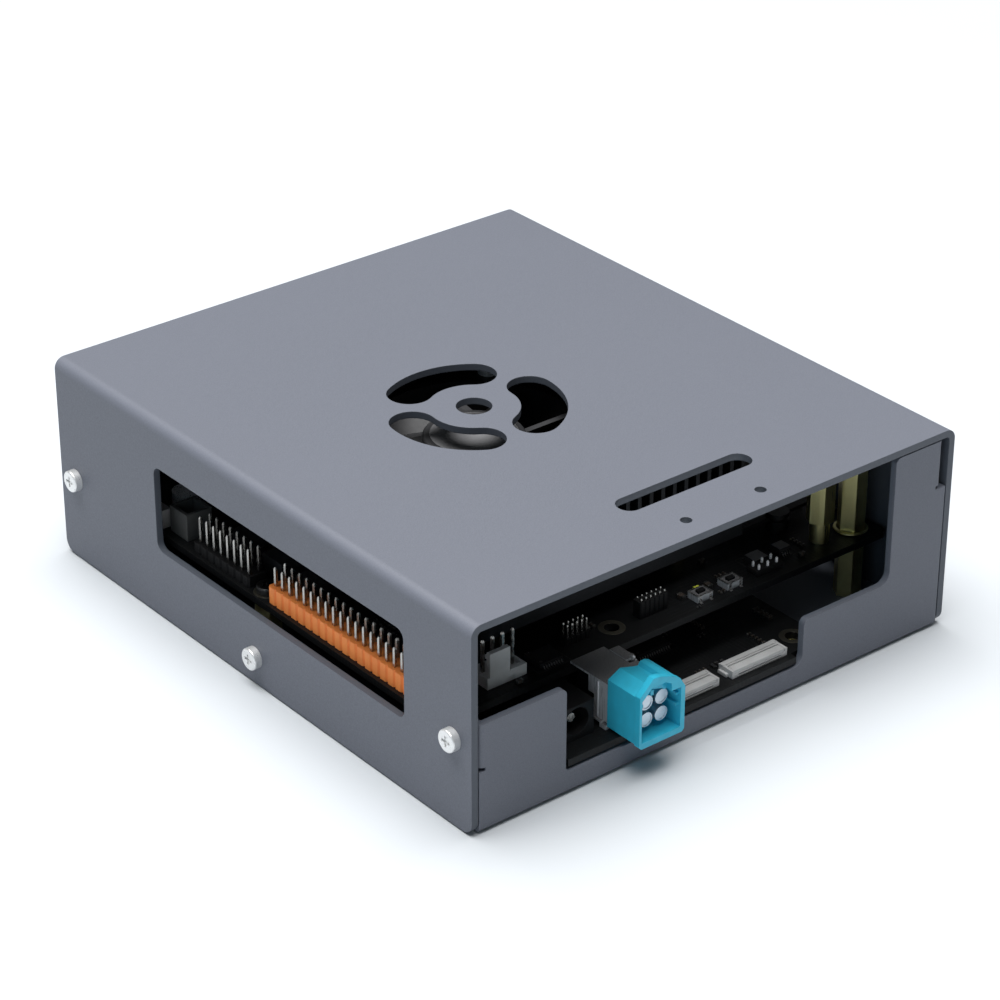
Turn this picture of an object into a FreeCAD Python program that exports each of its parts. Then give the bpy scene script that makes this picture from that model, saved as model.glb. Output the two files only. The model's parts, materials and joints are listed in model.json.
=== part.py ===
import FreeCAD, Part
import math
import os
import re

import Sketcher

# A single board computer in a folded sheet-metal case. Places are measured from the left wall (x), the
# front panel (y) and the underside (z) of the case; every piece is then moved so that the row's origin
# is the centre of the case's underside. The front sockets look along -Y.

SIZES = {
    # case
    "case_wide": 130.0, "case_deep": 146.0, "case_high": 47.5,
    "wall": 1.6, "bend_outer": 2.5, "bend_inner": 0.9, "foot_round": 2.8, "seam": 0.3,
    "slot_left": 52.1, "slot_right": 87.5, "slot_front": 15.0, "slot_rear": 20.8, "slot_round": 2.85,
    "lid_hole_left": 59.4, "lid_hole_right": 79.6, "lid_hole_y": 5.8, "lid_hole_radius": 1.25,
    "window_front": 21.2, "window_rear": 108.2, "window_low": 16.4, "window_high": 36.9,
    "right_window_front": 34.0, "right_window_low": 10.0, "window_round": 2.2,
    "fan_x": 57.4, "fan_y": 71.0, "kidney_path": 15.0, "kidney_half": 5.0, "kidney_span": 67.0,
    "kidney_turn": 85.0, "grille_eye": 3.9,
    # tray
    "panel_low": 5.2, "left_panel_end": 23.9, "left_panel_high": 24.8, "right_step": 88.3,
    "right_panel": 112.9, "step_high": 15.9, "panel_high": 45.6, "relief": 0.8,
    "left_tab_low": 14.9, "right_tab_low": 35.0, "right_tab_inset": 1.3, "tab_deep": 10.0,
    "tab_bend": 1.4, "base_bend": 1.2, "panel_outer_round": 1.4, "panel_inner_round": 2.6,
    "panel_low_round": 1.2,
    "foot_tab_front": 66.0, "foot_tab_deep": 13.0, "foot_tab_high": 12.0,
    "vent_left": 14.0, "vent_pitch": 8.6, "vent_wide": 5.2, "vent_low": 37.5, "vent_high": 41.5,
    "vent_count": 12,
    # case screws
    "screw_front": 5.8, "screw_middle": 72.6, "screw_rear": 140.0,
    "screw_side_high": 20.0, "screw_right_high": 40.0, "screw_foot_high": 6.4,
    "pan_radius": 2.5, "pan_high": 1.85, "case_shank": 1.2, "case_shank_long": 7.2,
    "case_screw_hole": 1.35, "thread_clear": 0.05,
    # boards
    "board_thick": 1.6, "board_under": 15.8, "board_left": 3.8, "board_right": 127.0,
    "board_front": 14.8, "board_rear": 142.4, "board_corner": 1.5, "board_hole": 1.6,
    "low_board_under": 5.9, "low_left": 24.8, "low_right": 97.0, "low_front": 0.4, "low_rear": 45.0,
    "low_notch_x": 86.9, "low_notch_y": 2.2,
    "link_left": 47.0, "link_front": 35.0, "link_wide": 34.0, "link_deep": 6.0,
    # standoffs and board screws
    "clinch_radius": 2.1, "hex_circle": 3.17, "board_shank": 1.25, "board_pan_radius": 2.4,
    "board_pan_high": 1.7, "board_screw_long": 6.0, "low_pan_radius": 2.5, "low_pan_high": 1.6,
    "low_screw_long": 4.5, "fan_pan_high": 1.4, "post_bore_deep": 8.0, "front_bore_deep": 3.6,
    "tall_high": 24.0, "tall_bore": 1.25, "tall_bore_deep": 8.0, "tall_stud_long": 5.0,
    "foot_collar_radius": 2.2, "foot_collar_high": 5.0,
    # square-pin headers, 2.54 mm pitch
    "pitch": 2.54, "pin_side": 0.64, "pin_tip": 0.5, "row_near": 6.0, "pin_top": 25.9,
    "gpio_front": 24.36, "gpio_high": 4.0, "aux_front": 82.3, "aux_high": 2.5, "body_notch": 0.45,
    # fine headers, 1.27 mm pitch
    "fine_pitch": 1.27, "fine_pin": 0.4, "fine_body": 1.6, "serial_body": 3.9, "fine_top": 22.0,
    "debug_left": 42.3, "debug_front": 21.85, "serial_left": 61.0, "serial_front": 20.4,
    # fan plug header
    "plug_left": 18.7, "plug_wide": 10.1, "plug_front": 18.3, "plug_deep": 5.8, "plug_high": 2.6,
    "plug_pin_left": 19.7, "plug_pin_y": 21.2, "plug_pin_top": 27.4,
    "plug_tab_wide": 5.2, "plug_tab_thick": 1.1, "plug_tab_top": 25.5,
    "plug_tab_inset": 0.6, "plug_floor_drop": 0.9, "plug_barb_thick": 0.5, "plug_barb_high": 0.9,
    "plug_barb_drop": 1.6,
    # quad coax socket
    "coax_left": 37.8, "coax_low": 7.55, "coax_front": -6.0, "coax_rear": 4.0,
    "coax_collar": 1.5, "coax_cavity": 6.2, "contact_radius": 1.65, "contact_dish": 0.15,
    "contact_rim": 0.28,
    "contact_pitch": 4.0, "contact_x": 43.8, "contact_z": 14.0, "contact_front": -3.4,
    "shield_left": 38.1, "shield_right": 49.4, "shield_back": 8.3, "shield_rear": 15.8,
    "shield_top": 18.0, "shield_plate": 0.5, "shield_step": 2.4, "shield_front_low": 9.0,
    "ear_gap": 0.5, "ear_deep": 5.2, "ear_rise": 0.2, "lug_inset": 0.7, "lug_radius": 0.45,
    "lug_high": 1.2, "insulator_gap": 0.8, "insulator_rear": 14.4,
    # round supply socket on the front board
    "supply_x": 30.8, "supply_wide": 9.0, "supply_front": 5.0, "supply_deep": 12.0, "supply_high": 8.0,
    "supply_axis": 4.4, "supply_bore": 3.1, "supply_bore_deep": 9.6, "supply_pin": 1.0,
    "supply_pin_inset": 1.8,
    # film-cable sockets
    "film_wide": 15.4, "film_deep": 4.3, "film_high": 1.8, "film_front": 2.2,
    "film_left_x": 51.4, "film_right_x": 70.5, "film_cheek": 0.6, "film_shelf": 0.95,
    "film_shelf_deep": 2.4, "film_mouth_inset": 1.6, "film_mouth_low": 0.35, "film_mouth_high": 0.35,
    "film_mouth_deep": 3.2, "film_groove_back": 1.5, "film_groove_wide": 0.25, "film_groove_deep": 0.2,
    "flap_inset": 0.7, "flap_low": 1.05, "flap_high": 0.75, "flap_front": 0.1, "flap_deep": 1.8,
    # tact switches on the front edge
    "tact_wide": 4.2, "tact_deep": 3.2, "tact_high": 1.5, "tact_y": 18.8, "tact_first": 76.1,
    "tact_second": 84.5, "tact_cap_long": 1.9, "tact_cap_wide": 1.0, "tact_cap_high": 0.55,
    "tact_gap": 0.12, "tact_well_deep": 0.7, "tact_stem": 0.4,
    # heatsink, fan and computing module
    "sink_left": 22.0, "sink_front": 25.0, "sink_deep": 92.0, "sink_under": 23.6, "sink_base": 3.4,
    "sink_top": 43.4, "fin_thick": 1.0, "fin_pitch": 3.2, "fin_count": 23.0,
    "fan_side": 50.0, "fan_low": 29.0, "fan_top": 41.4, "fan_bore": 23.6, "fan_corner": 3.0,
    "fan_hole_pitch": 40.0, "hub_radius": 11.2, "hub_top": 41.0, "blade_reach": 22.8,
    "fan_hole": 1.6, "nest_drop": 0.2, "sink_well_gap": 1.0, "strut_wide": 2.4, "strut_thick": 1.4,
    "stator_lip": 0.4, "axle_radius": 1.0, "axle_long": 5.0, "axle_clear": 0.06, "axle_end_gap": 0.2,
    "rotor_rise": 1.9, "hub_round": 0.8, "blade_thick": 1.0, "blade_rise": 2.6, "blade_drop": 0.8,
    "blade_root": 0.6, "blade_slant": 48.0, "blade_count": 9,
    "module_left": 30.0, "module_front": 31.0, "module_wide": 60.0, "module_deep": 78.0,
    "module_under": 20.4, "module_thick": 1.2, "chip_side": 26.0,
    "module_link_inset": 2.5, "module_link_wide": 5.0, "module_link_front": 15.0,
    "module_link_long": 48.0,
    # loose parts on the main board
    "choke_side": 7.0, "choke_high": 3.6, "can_radius": 3.15, "can_high": 5.4, "socket_wall": 0.8,
    "socket_floor": 2.3,
    # rear sockets
    "jack_low": 17.4, "rear_out": 0.4,
    # power button in the rear panel
    "power_wide": 6.4, "power_front": 136.4, "power_deep": 5.4, "power_high": 7.4,
    "power_well_front": 140.0, "power_well_deep": 3.0, "power_well_inset": 0.6,
    "power_stem_front": 141.0, "power_stem_long": 1.4, "power_stem_inset": 0.8,
    "power_cap_front": 142.4, "power_cap_long": 4.6, "power_cap_round": 0.5,
}

doc = FreeCAD.newDocument("SingleBoardComputer")
sheet = doc.addObject("Spreadsheet::Sheet", "Sizes")
for line, (alias, number) in enumerate(SIZES.items(), start=1):
    sheet.set(f"A{line}", alias)
    sheet.set(f"B{line}", str(number))
    sheet.setAlias(f"B{line}", alias)
doc.recompute()

NODES = []
FACES = {"x": FreeCAD.Rotation(FreeCAD.Vector(0, 1, 0), 90),
         "y": FreeCAD.Rotation(FreeCAD.Vector(1, 0, 0), -90),
         "z": FreeCAD.Rotation()}


# ---- sheet values -------------------------------------------------------------------------------

def bound(text):
    """The expression with each size named in it read from the sheet."""
    return re.sub(r"[a-z]\w*", lambda word: f"{sheet.Name}.{word.group()}"
                  if word.group() in SIZES else word.group(), str(text))


def mm(text):
    """The value, in mm, of a number or of an expression of sheet sizes."""
    return float(sheet.evalExpression(bound(text)))


def vector(*texts):
    return FreeCAD.Vector(*[mm(text) for text in texts])


def bind(item, **sizes):
    for name, text in sizes.items():
        item.setExpression(name, bound(text))


def place(item, x=0, y=0, z=0):
    """Puts an object's base at a place measured from the case's left, front and underside."""
    item.setExpression("Placement.Base.x", bound(f"({x}) - case_wide / 2"))
    item.setExpression("Placement.Base.y", bound(f"({y}) - case_deep / 2"))
    item.setExpression("Placement.Base.z", bound(z))


def node(item, label):
    """Marks an object as one separate piece of the part, under the name of its file."""
    item.Label = label
    NODES.append(item)
    return item


# ---- primitives and booleans --------------------------------------------------------------------

def box(name, corner, size):
    item = doc.addObject("Part::Box", name)
    bind(item, Length=size[0], Width=size[1], Height=size[2])
    place(item, *corner)
    return item


def rod(name, start, radius, length, axis="z"):
    item = doc.addObject("Part::Cylinder", name)
    bind(item, Radius=radius, Height=length)
    item.Placement.Rotation = FACES[axis]
    place(item, *start)
    return item


def hexagon(name, start, circle, length):
    item = doc.addObject("Part::Prism", name)
    item.Polygon = 6
    bind(item, Circumradius=circle, Height=length)
    place(item, *start)
    return item


def fuse(name, parts):
    item = doc.addObject("Part::MultiFuse", name)
    item.Shapes = parts
    return item


def cut(name, base, tools):
    item = doc.addObject("Part::Cut", name)
    item.Base = base
    item.Tool = tools[0] if len(tools) == 1 else fuse(f"{name}_tools", tools)
    return item


def group(name, parts):
    item = doc.addObject("Part::Compound", name)
    item.Links = parts
    return item


def rounded(name, base, radius, test):
    """A Part::Fillet of the base's edges that pass the test."""
    doc.recompute()
    item = doc.addObject("Part::Fillet", name)
    item.Base = base
    item.Edges = [(number, mm(radius), mm(radius))
                  for number, edge in enumerate(base.Shape.Edges, start=1) if test(edge)]
    return item


def coded(name, shape):
    """A piece whose shape repeats too often for single objects, such as a grid of pins."""
    item = doc.addObject("Part::Feature", name)
    item.Shape = Part.makeCompound([shape])
    place(item)
    return item


def runs_along(edge, axis):
    ends = [vertex.Point for vertex in edge.Vertexes]
    if len(ends) != 2:
        return False
    run = ends[1] - ends[0]
    return all(abs(getattr(run, other)) < 1e-6 for other in "xyz" if other != axis) and run.Length > 1e-6


# ---- part design bodies -------------------------------------------------------------------------

def new_body(name):
    item = doc.addObject("PartDesign::Body", name)
    place(item)
    return item


def new_sketch(body, name, role, offset=0):
    item = body.newObject("Sketcher::SketchObject", name)
    support = [part for part in body.Origin.OriginFeatures if part.Role == role][0]
    item.AttachmentSupport = [(support, "")]
    item.MapMode = "FlatFace"
    item.setExpression("AttachmentOffset.Base.z", bound(offset))
    return item


def fix_point(sketch, geometry, vertex, x, y):
    """Ties a sketch point to its distances from the sketch's axes."""
    for kind, axis, text in (("DistanceX", -2, x), ("DistanceY", -1, y)):
        if abs(mm(text)) < 1e-9:
            sketch.addConstraint(Sketcher.Constraint("PointOnObject", geometry, vertex, axis))
            continue
        index = sketch.addConstraint(Sketcher.Constraint(kind, -1, 1, geometry, vertex, mm(text)))
        sketch.setExpression(f"Constraints[{index}]", bound(text))


def draw_polygon(sketch, points):
    first = sketch.GeometryCount
    places = [vector(x, y, 0) for x, y in points]
    for start, end in zip(places, places[1:] + places[:1]):
        sketch.addGeometry(Part.LineSegment(start, end), False)
    for index, (x, y) in enumerate(points):
        following = first + (index + 1) % len(points)
        sketch.addConstraint(Sketcher.Constraint("Coincident", first + index, 2, following, 1))
        fix_point(sketch, first + index, 1, x, y)


def draw_box(sketch, left, low, right, high):
    draw_polygon(sketch, [(left, low), (right, low), (right, high), (left, high)])


def draw_circle(sketch, x, y, radius):
    up = FreeCAD.Vector(0, 0, 1)
    geometry = sketch.addGeometry(Part.Circle(vector(x, y, 0), up, mm(radius)), False)
    fix_point(sketch, geometry, 3, x, y)
    index = sketch.addConstraint(Sketcher.Constraint("Radius", geometry, mm(radius)))
    sketch.setExpression(f"Constraints[{index}]", bound(radius))


def pad(body, sketch, length, reverse=False):
    item = body.newObject("PartDesign::Pad", f"{sketch.Name}_pad")
    item.Profile = sketch
    item.Reversed = reverse
    bind(item, Length=length)
    doc.recompute()
    return item


def pocket(body, sketch, depth, reverse=False):
    """A pocket, with its volume compared so that one that misses the solid is found."""
    before = body.Shape.Volume
    item = body.newObject("PartDesign::Pocket", f"{sketch.Name}_pocket")
    item.Profile = sketch
    item.Reversed = reverse
    bind(item, Length=depth)
    doc.recompute()
    if body.Shape.Volume > before - 1e-3:
        raise ValueError(f"{item.Name} cuts nothing")
    return item


def fillet(body, name, radius, axis, spots, above=-1):
    """Rounds the straight edges along an axis that pass through the spots of the plane across it and
    start above a height."""
    base = body.Tip
    across = [other for other in "xyz" if other != axis]
    places = [[mm(text) for text in spot] for spot in spots]
    edges = []
    for number, edge in enumerate(base.Shape.Edges, start=1):
        point = edge.Vertexes[0].Point
        found = any(all(abs(getattr(point, other) - spot[index]) < 1e-4
                        for index, other in enumerate(across)) for spot in places)
        if found and runs_along(edge, axis) and edge.BoundBox.ZMin > mm(above) - 1e-3:
            edges.append(f"Edge{number}")
    if not edges:
        raise ValueError(f"{name} finds no edge")
    item = body.newObject("PartDesign::Fillet", name)
    item.Base = (base, edges)
    bind(item, Radius=radius)
    doc.recompute()
    return item


def corners(left, low, right, high):
    return [(x, y) for x in (left, right) for y in (low, high)]


# ---- case ---------------------------------------------------------------------------------------

# (side of the case, y, z) of every case screw
CASE_SCREWS = {
    "left": [("screw_front", "screw_side_high"), ("screw_middle", "screw_foot_high"),
             ("screw_rear", "screw_side_high")],
    "right": [("screw_front", "screw_right_high"), ("screw_middle", "screw_foot_high"),
              ("screw_rear", "screw_right_high")],
}


def kidney(sketch):
    """A slot bent round the fan's axis: two arcs closed by two round ends."""
    centre = FreeCAD.Vector()
    up = FreeCAD.Vector(0, 0, 1)
    path, half = mm("kidney_path"), mm("kidney_half")
    swing = math.radians(mm("kidney_span") / 2)
    turn = math.radians(mm("kidney_turn"))
    first, last = turn - swing, turn + swing
    for radius in (path + half, path - half):
        sketch.addGeometry(Part.ArcOfCircle(Part.Circle(centre, up, radius), first, last), False)
    for angle, start in ((first, first - math.pi), (last, last)):
        end = FreeCAD.Vector(path * math.cos(angle), path * math.sin(angle), 0)
        sketch.addGeometry(Part.ArcOfCircle(Part.Circle(end, up, half), start, start + math.pi), False)
    for arc, vertex, cap, tip in ((0, 1, 2, 2), (1, 1, 2, 1), (0, 2, 3, 1), (1, 2, 3, 2)):
        sketch.addConstraint(Sketcher.Constraint("Tangent", arc, vertex, cap, tip))
    for arc in (0, 1):
        sketch.addConstraint(Sketcher.Constraint("Coincident", arc, 3, -1, 1))
    for arc, text in ((0, "kidney_path + kidney_half"), (1, "kidney_path - kidney_half")):
        index = sketch.addConstraint(Sketcher.Constraint("Radius", arc, mm(text)))
        sketch.setExpression(f"Constraints[{index}]", bound(text))


def make_cover():
    body = new_body("cover_body")
    section = new_sketch(body, "cover_section", "XZ_Plane")
    draw_polygon(section, [
        (0, 0), ("wall", 0), ("wall", "case_high - wall"), ("case_wide - wall", "case_high - wall"),
        ("case_wide - wall", 0), ("case_wide", 0), ("case_wide", "case_high"), (0, "case_high")])
    pad(body, section, "case_deep", reverse=True)
    fillet(body, "cover_bend", "bend_outer", "y", [(0, "case_high"), ("case_wide", "case_high")])
    fillet(body, "cover_bend_inside", "bend_inner", "y",
           [("wall", "case_high - wall"), ("case_wide - wall", "case_high - wall")])
    fillet(body, "cover_feet", "foot_round", "x", [(0, 0), ("case_deep", 0)])

    slot = new_sketch(body, "cover_slot", "XY_Plane")
    draw_box(slot, "slot_left", "slot_front", "slot_right", "slot_rear")
    pocket(body, slot, "case_high + 1", reverse=True)
    fillet(body, "cover_slot_ends", "slot_round", "z",
           corners("slot_left", "slot_front", "slot_right", "slot_rear"))
    holes = new_sketch(body, "cover_holes", "XY_Plane")
    for x in ("lid_hole_left", "lid_hole_right"):
        draw_circle(holes, x, "lid_hole_y", "lid_hole_radius")
    draw_circle(holes, "fan_x", "fan_y", "grille_eye")
    pocket(body, holes, "case_high + 1", reverse=True)

    left = new_sketch(body, "left_window", "YZ_Plane")
    draw_box(left, "window_front", "window_low", "window_rear", "window_high")
    for y, z in CASE_SCREWS["left"]:
        draw_circle(left, y, z, "case_screw_hole")
    pocket(body, left, "2 * wall", reverse=True)
    fillet(body, "left_window_corners", "window_round", "x",
           corners("window_front", "window_low", "window_rear", "window_high"))
    right = new_sketch(body, "right_window", "YZ_Plane", "case_wide")
    draw_box(right, "right_window_front", "right_window_low", "window_rear", "window_high")
    for y, z in CASE_SCREWS["right"]:
        draw_circle(right, y, z, "case_screw_hole")
    pocket(body, right, "2 * wall")
    fillet(body, "right_window_corners", "window_round", "x",
           corners("right_window_front", "right_window_low", "window_rear", "window_high"))

    grille = new_sketch(body, "fan_grille", "XY_Plane")
    grille.setExpression("AttachmentOffset.Base.x", bound("fan_x"))
    grille.setExpression("AttachmentOffset.Base.y", bound("fan_y"))
    kidney(grille)
    first = pocket(body, grille, "case_high + 1", reverse=True)
    ring = body.newObject("PartDesign::PolarPattern", "fan_grille_ring")
    ring.Originals = [first]
    ring.Axis = (grille, ["N_Axis"])
    ring.Angle = 360
    ring.Occurrences = 3
    body.Tip = ring
    doc.recompute()
    node(body, "cover")


# (middle along x, wide, high, deep) of each socket in the rear panel
SOCKETS = {
    "usb_c": (25.5, 9.0, 3.4, 7.6), "display": (40.0, 15.0, 6.0, 11.6),
    "usb_low": (58.0, 14.6, 15.6, 17.4), "usb_high": (75.0, 14.6, 15.6, 17.4),
    "network_low": (92.5, 16.0, 13.6, 21.0), "network_high": (110.0, 16.0, 13.6, 21.0),
}
# (x, z, radius) of the power button
BUTTON = (122.5, 21.6, 2.3)


def make_tray():
    body = new_body("tray_body")
    edge = "wall + seam"
    base = new_sketch(body, "tray_base", "XY_Plane")
    draw_box(base, edge, 0, "case_wide - wall - seam", "case_deep")
    for x, y in LOW_POSTS + FRONT_POSTS:
        draw_circle(base, x, y, "clinch_radius")
    pad(body, base, "wall")

    right_edge = "case_wide - wall - seam"
    right_tab = f"{right_edge} - right_tab_inset"
    front = new_sketch(body, "front_panel", "XZ_Plane")
    draw_polygon(front, [
        (edge, 0), (right_edge, 0), (right_edge, "right_tab_low - relief"),
        (f"{right_tab} - wall", "right_tab_low - relief"), (f"{right_tab} - wall", "right_tab_low"),
        (right_tab, "right_tab_low"), (right_tab, "panel_high"), ("right_panel", "panel_high"),
        ("right_panel", "step_high"), ("right_step", "step_high"), ("right_step", "panel_low"),
        ("left_panel_end", "panel_low"), ("left_panel_end", "left_panel_high"), (edge, "left_panel_high"),
        (edge, "left_tab_low"), ("2 * wall + seam", "left_tab_low"),
        ("2 * wall + seam", "left_tab_low - relief"), (edge, "left_tab_low - relief")])
    pad(body, front, "wall", reverse=True)
    rear = new_sketch(body, "rear_panel", "XZ_Plane", "-(case_deep - wall)")
    draw_polygon(rear, [
        (edge, 0), (right_edge, 0), (right_edge, "right_tab_low - relief"),
        (f"{right_tab} - wall", "right_tab_low - relief"), (f"{right_tab} - wall", "right_tab_low"),
        (right_tab, "right_tab_low"), (right_tab, "panel_high"), (edge, "panel_high"),
        (edge, "left_tab_low"), ("2 * wall + seam", "left_tab_low"),
        ("2 * wall + seam", "left_tab_low - relief"), (edge, "left_tab_low - relief")])
    pad(body, rear, "wall", reverse=True)

    tabs = {
        "left_tabs": (edge, "left_tab_low", "left_panel_high"),
        "right_tabs": (f"{right_tab} - wall", "right_tab_low", "panel_high"),
    }
    for name, (x, low, high) in tabs.items():
        sketch = new_sketch(body, name, "YZ_Plane", x)
        draw_box(sketch, 0, low, "tab_deep", high)
        draw_box(sketch, "case_deep - tab_deep", low, "case_deep", high)
        pad(body, sketch, "wall")
    for name, x in (("left_foot_tab", edge), ("right_foot_tab", f"{right_edge} - wall")):
        sketch = new_sketch(body, name, "YZ_Plane", x)
        draw_box(sketch, "foot_tab_front", 0, "foot_tab_front + foot_tab_deep", "foot_tab_high")
        pad(body, sketch, "wall")

    fillet(body, "tray_left_bends", "tab_bend", "z", [(edge, 0), (edge, "case_deep")], "left_tab_low")
    fillet(body, "tray_right_bends", "tab_bend", "z", [(right_tab, 0), (right_tab, "case_deep")],
           "right_tab_low")
    fillet(body, "tray_low_bends", "base_bend", "x", [(0, 0), ("case_deep", 0)])
    fillet(body, "panel_outer_corners", "panel_outer_round", "y",
           [("left_panel_end", "left_panel_high"), ("right_step", "step_high"),
            ("right_panel", "panel_high")])
    fillet(body, "panel_inner_corners", "panel_inner_round", "y",
           [("right_panel", "step_high"), ("right_step", "panel_low")])
    fillet(body, "panel_low_corner", "panel_low_round", "y", [("left_panel_end", "panel_low")])

    for side, x, reverse in (("left", edge, True), ("right", right_edge, False)):
        sketch = new_sketch(body, f"{side}_screw_holes", "YZ_Plane", x)
        for y, z in CASE_SCREWS[side]:
            draw_circle(sketch, y, z, "case_shank + thread_clear")
        pocket(body, sketch, "2 * wall + right_tab_inset", reverse=reverse)
    sockets = new_sketch(body, "socket_windows", "XZ_Plane", "-(case_deep - 2 * wall)")
    for middle, wide, high, _ in SOCKETS.values():
        draw_box(sockets, f"{middle} - {wide} / 2 - seam", "jack_low - seam / 2",
                 f"{middle} + {wide} / 2 + seam", f"jack_low + {high} + seam")
    draw_circle(sockets, BUTTON[0], BUTTON[1], f"{BUTTON[2]} + seam")
    pocket(body, sockets, "3 * wall")
    vents = new_sketch(body, "rear_vents", "XZ_Plane", "-(case_deep - 2 * wall)")
    for number in range(int(mm("vent_count"))):
        left = f"vent_left + {number} * vent_pitch"
        draw_box(vents, left, "vent_low", f"{left} + vent_wide", "vent_high")
    pocket(body, vents, "3 * wall")
    node(body, "tray")


# ---- screws and standoffs -----------------------------------------------------------------------

# posts under the main board, and under the low front board, from the case's left wall and front
LOW_POSTS = [(8.0, 19.2), (121.3, 20.3), (7.2, 77.6), (122.0, 77.6), (21.0, 119.5), (121.5, 120.5)]
FRONT_POSTS = [(30.0, 24.0), (92.0, 7.0), (30.0, 41.0), (92.0, 40.0)]
TALL_POST = LOW_POSTS[1]
COLLAR_POST = (112.5, 21.0)
OPEN_HOLE = (53.8, 21.2)
SINK_SCREWS = [(34.9, 35.4), (83.9, 35.4), (34.9, 104.6), (83.9, 104.6)]


# shares of a pan head's radius (recess width and reach) and of its height (recess floor and dome)
RECESS = {"wide": 0.26, "reach": 0.5, "floor": 0.78, "dome": 0.22}


def pan_screw(name, radius, high, shank, length):
    """A cross-recess pan-head screw, shank down, with its head standing on z = 0."""
    across = f"{RECESS['wide']} * {radius}"
    reach = f"{RECESS['reach']} * {radius}"
    floor = f"{RECESS['floor']} * {high}"
    head = rounded(f"{name}_head", rod(f"{name}_blank", (0, 0, 0), radius, high),
                   f"{RECESS['dome']} * {high}",
                   lambda edge: edge.BoundBox.ZMin > mm(high) - 1e-3 and edge.Length > mm(radius))
    blades = [box(f"{name}_blade_x", (f"-({reach})", f"-({across}) / 2", floor),
                  (f"2 * {reach}", across, high)),
              box(f"{name}_blade_y", (f"-({across}) / 2", f"-({reach})", floor),
                  (across, f"2 * {reach}", high))]
    pin = rod(f"{name}_shank", (0, 0, f"-({length})"), shank, length)
    item = fuse(name, [cut(f"{name}_crossed", head, blades), pin])
    doc.recompute()
    return item


def copies(name, master, places, direction=(0, 0, 1)):
    """One node of identical pieces: copies of a master, its +Z turned to the direction."""
    turn = FreeCAD.Rotation(FreeCAD.Vector(0, 0, 1), FreeCAD.Vector(*direction))
    home = master.Shape.copy()
    home.translate(vector("case_wide / 2", "case_deep / 2", 0))
    shapes = []
    for spot in places:
        shape = home.copy()
        shape.transformShape(FreeCAD.Placement(vector(*spot), turn).toMatrix())
        shapes.append(shape)
    return node(coded(f"{name}_set", Part.makeCompound(shapes)), name)


def make_screws():
    case = pan_screw("case_screw", "pan_radius", "pan_high", "case_shank", "case_shank_long")
    for side, x, direction in (("left", 0, (-1, 0, 0)), ("right", "case_wide", (1, 0, 0))):
        copies(f"case_screws_{side}", case, [(x, y, z) for y, z in CASE_SCREWS[side]], direction)
    board = pan_screw("board_screw", "board_pan_radius", "board_pan_high",
                      "board_shank - thread_clear", "board_screw_long")
    top = "board_under + board_thick"
    copies("board_screws", board, [(*post, top) for post in LOW_POSTS if post != TALL_POST])
    low = pan_screw("low_screw", "low_pan_radius", "low_pan_high", "board_shank - thread_clear",
                    "low_screw_long")
    copies("front_board_screws", low, [(*FRONT_POSTS[index], "low_board_under + board_thick")
                                       for index in (0, 2, 3)])
    fan = pan_screw("fan_screw", "board_pan_radius", "fan_pan_high", "case_shank", "fan_top - fan_low")
    copies("fan_screws", fan, [(f"fan_x + {i} * fan_hole_pitch / 2", f"fan_y + {j} * fan_hole_pitch / 2",
                                "fan_top") for i in (-1, 1) for j in (-1, 1)])
    sink = pan_screw("sink_screw", "board_pan_radius", "board_pan_high", "case_shank",
                     "sink_under + sink_base - board_under - board_thick")
    copies("module_screws", sink, [(*spot, "sink_under + sink_base") for spot in SINK_SCREWS])


def post(name, x, y, low, high, bore_deep):
    """A hexagonal post clinched into the base, with a threaded bore in its top."""
    column = hexagon(f"{name}_hex", (x, y, low), "hex_circle", f"({high}) - ({low})")
    shank = rod(f"{name}_clinch", (x, y, 0), "clinch_radius", "wall")
    bore = rod(f"{name}_bore", (x, y, f"({high}) - ({bore_deep})"), "board_shank", bore_deep)
    return cut(name, fuse(f"{name}_solid", [column, shank]), [bore])


def make_posts():
    node(group("board_posts", [post(f"board_post_{i}", x, y, "wall", "board_under", "post_bore_deep")
                               for i, (x, y) in enumerate(LOW_POSTS, start=1)]), "board_standoffs")
    node(group("front_posts", [post(f"front_post_{i}", x, y, "wall", "low_board_under", "front_bore_deep")
                               for i, (x, y) in enumerate(FRONT_POSTS, start=1)]), "front_standoffs")
    board_top = "board_under + board_thick"
    tops = []
    for name, (x, y), low in (("tall_post", TALL_POST, board_top),
                              ("collar_post", COLLAR_POST, f"{board_top} + foot_collar_high")):
        high = f"({board_top} + tall_high) - ({low})"
        column = hexagon(f"{name}_hex", (x, y, low), "hex_circle", high)
        if name == "tall_post":
            foot = rod(f"{name}_stud", (x, y, "board_under - tall_stud_long"),
                       "board_shank - thread_clear", "board_thick + tall_stud_long")
        else:
            foot = rod(f"{name}_collar", (x, y, board_top), "foot_collar_radius", "foot_collar_high")
        bore = rod(f"{name}_bore", (x, y, f"{board_top} + tall_high - tall_bore_deep"), "tall_bore",
                   "tall_bore_deep")
        tops.append(cut(name, fuse(f"{name}_solid", [column, foot]), [bore]))
    node(group("tall_posts", tops), "tall_standoffs")


# ---- boards -------------------------------------------------------------------------------------

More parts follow.
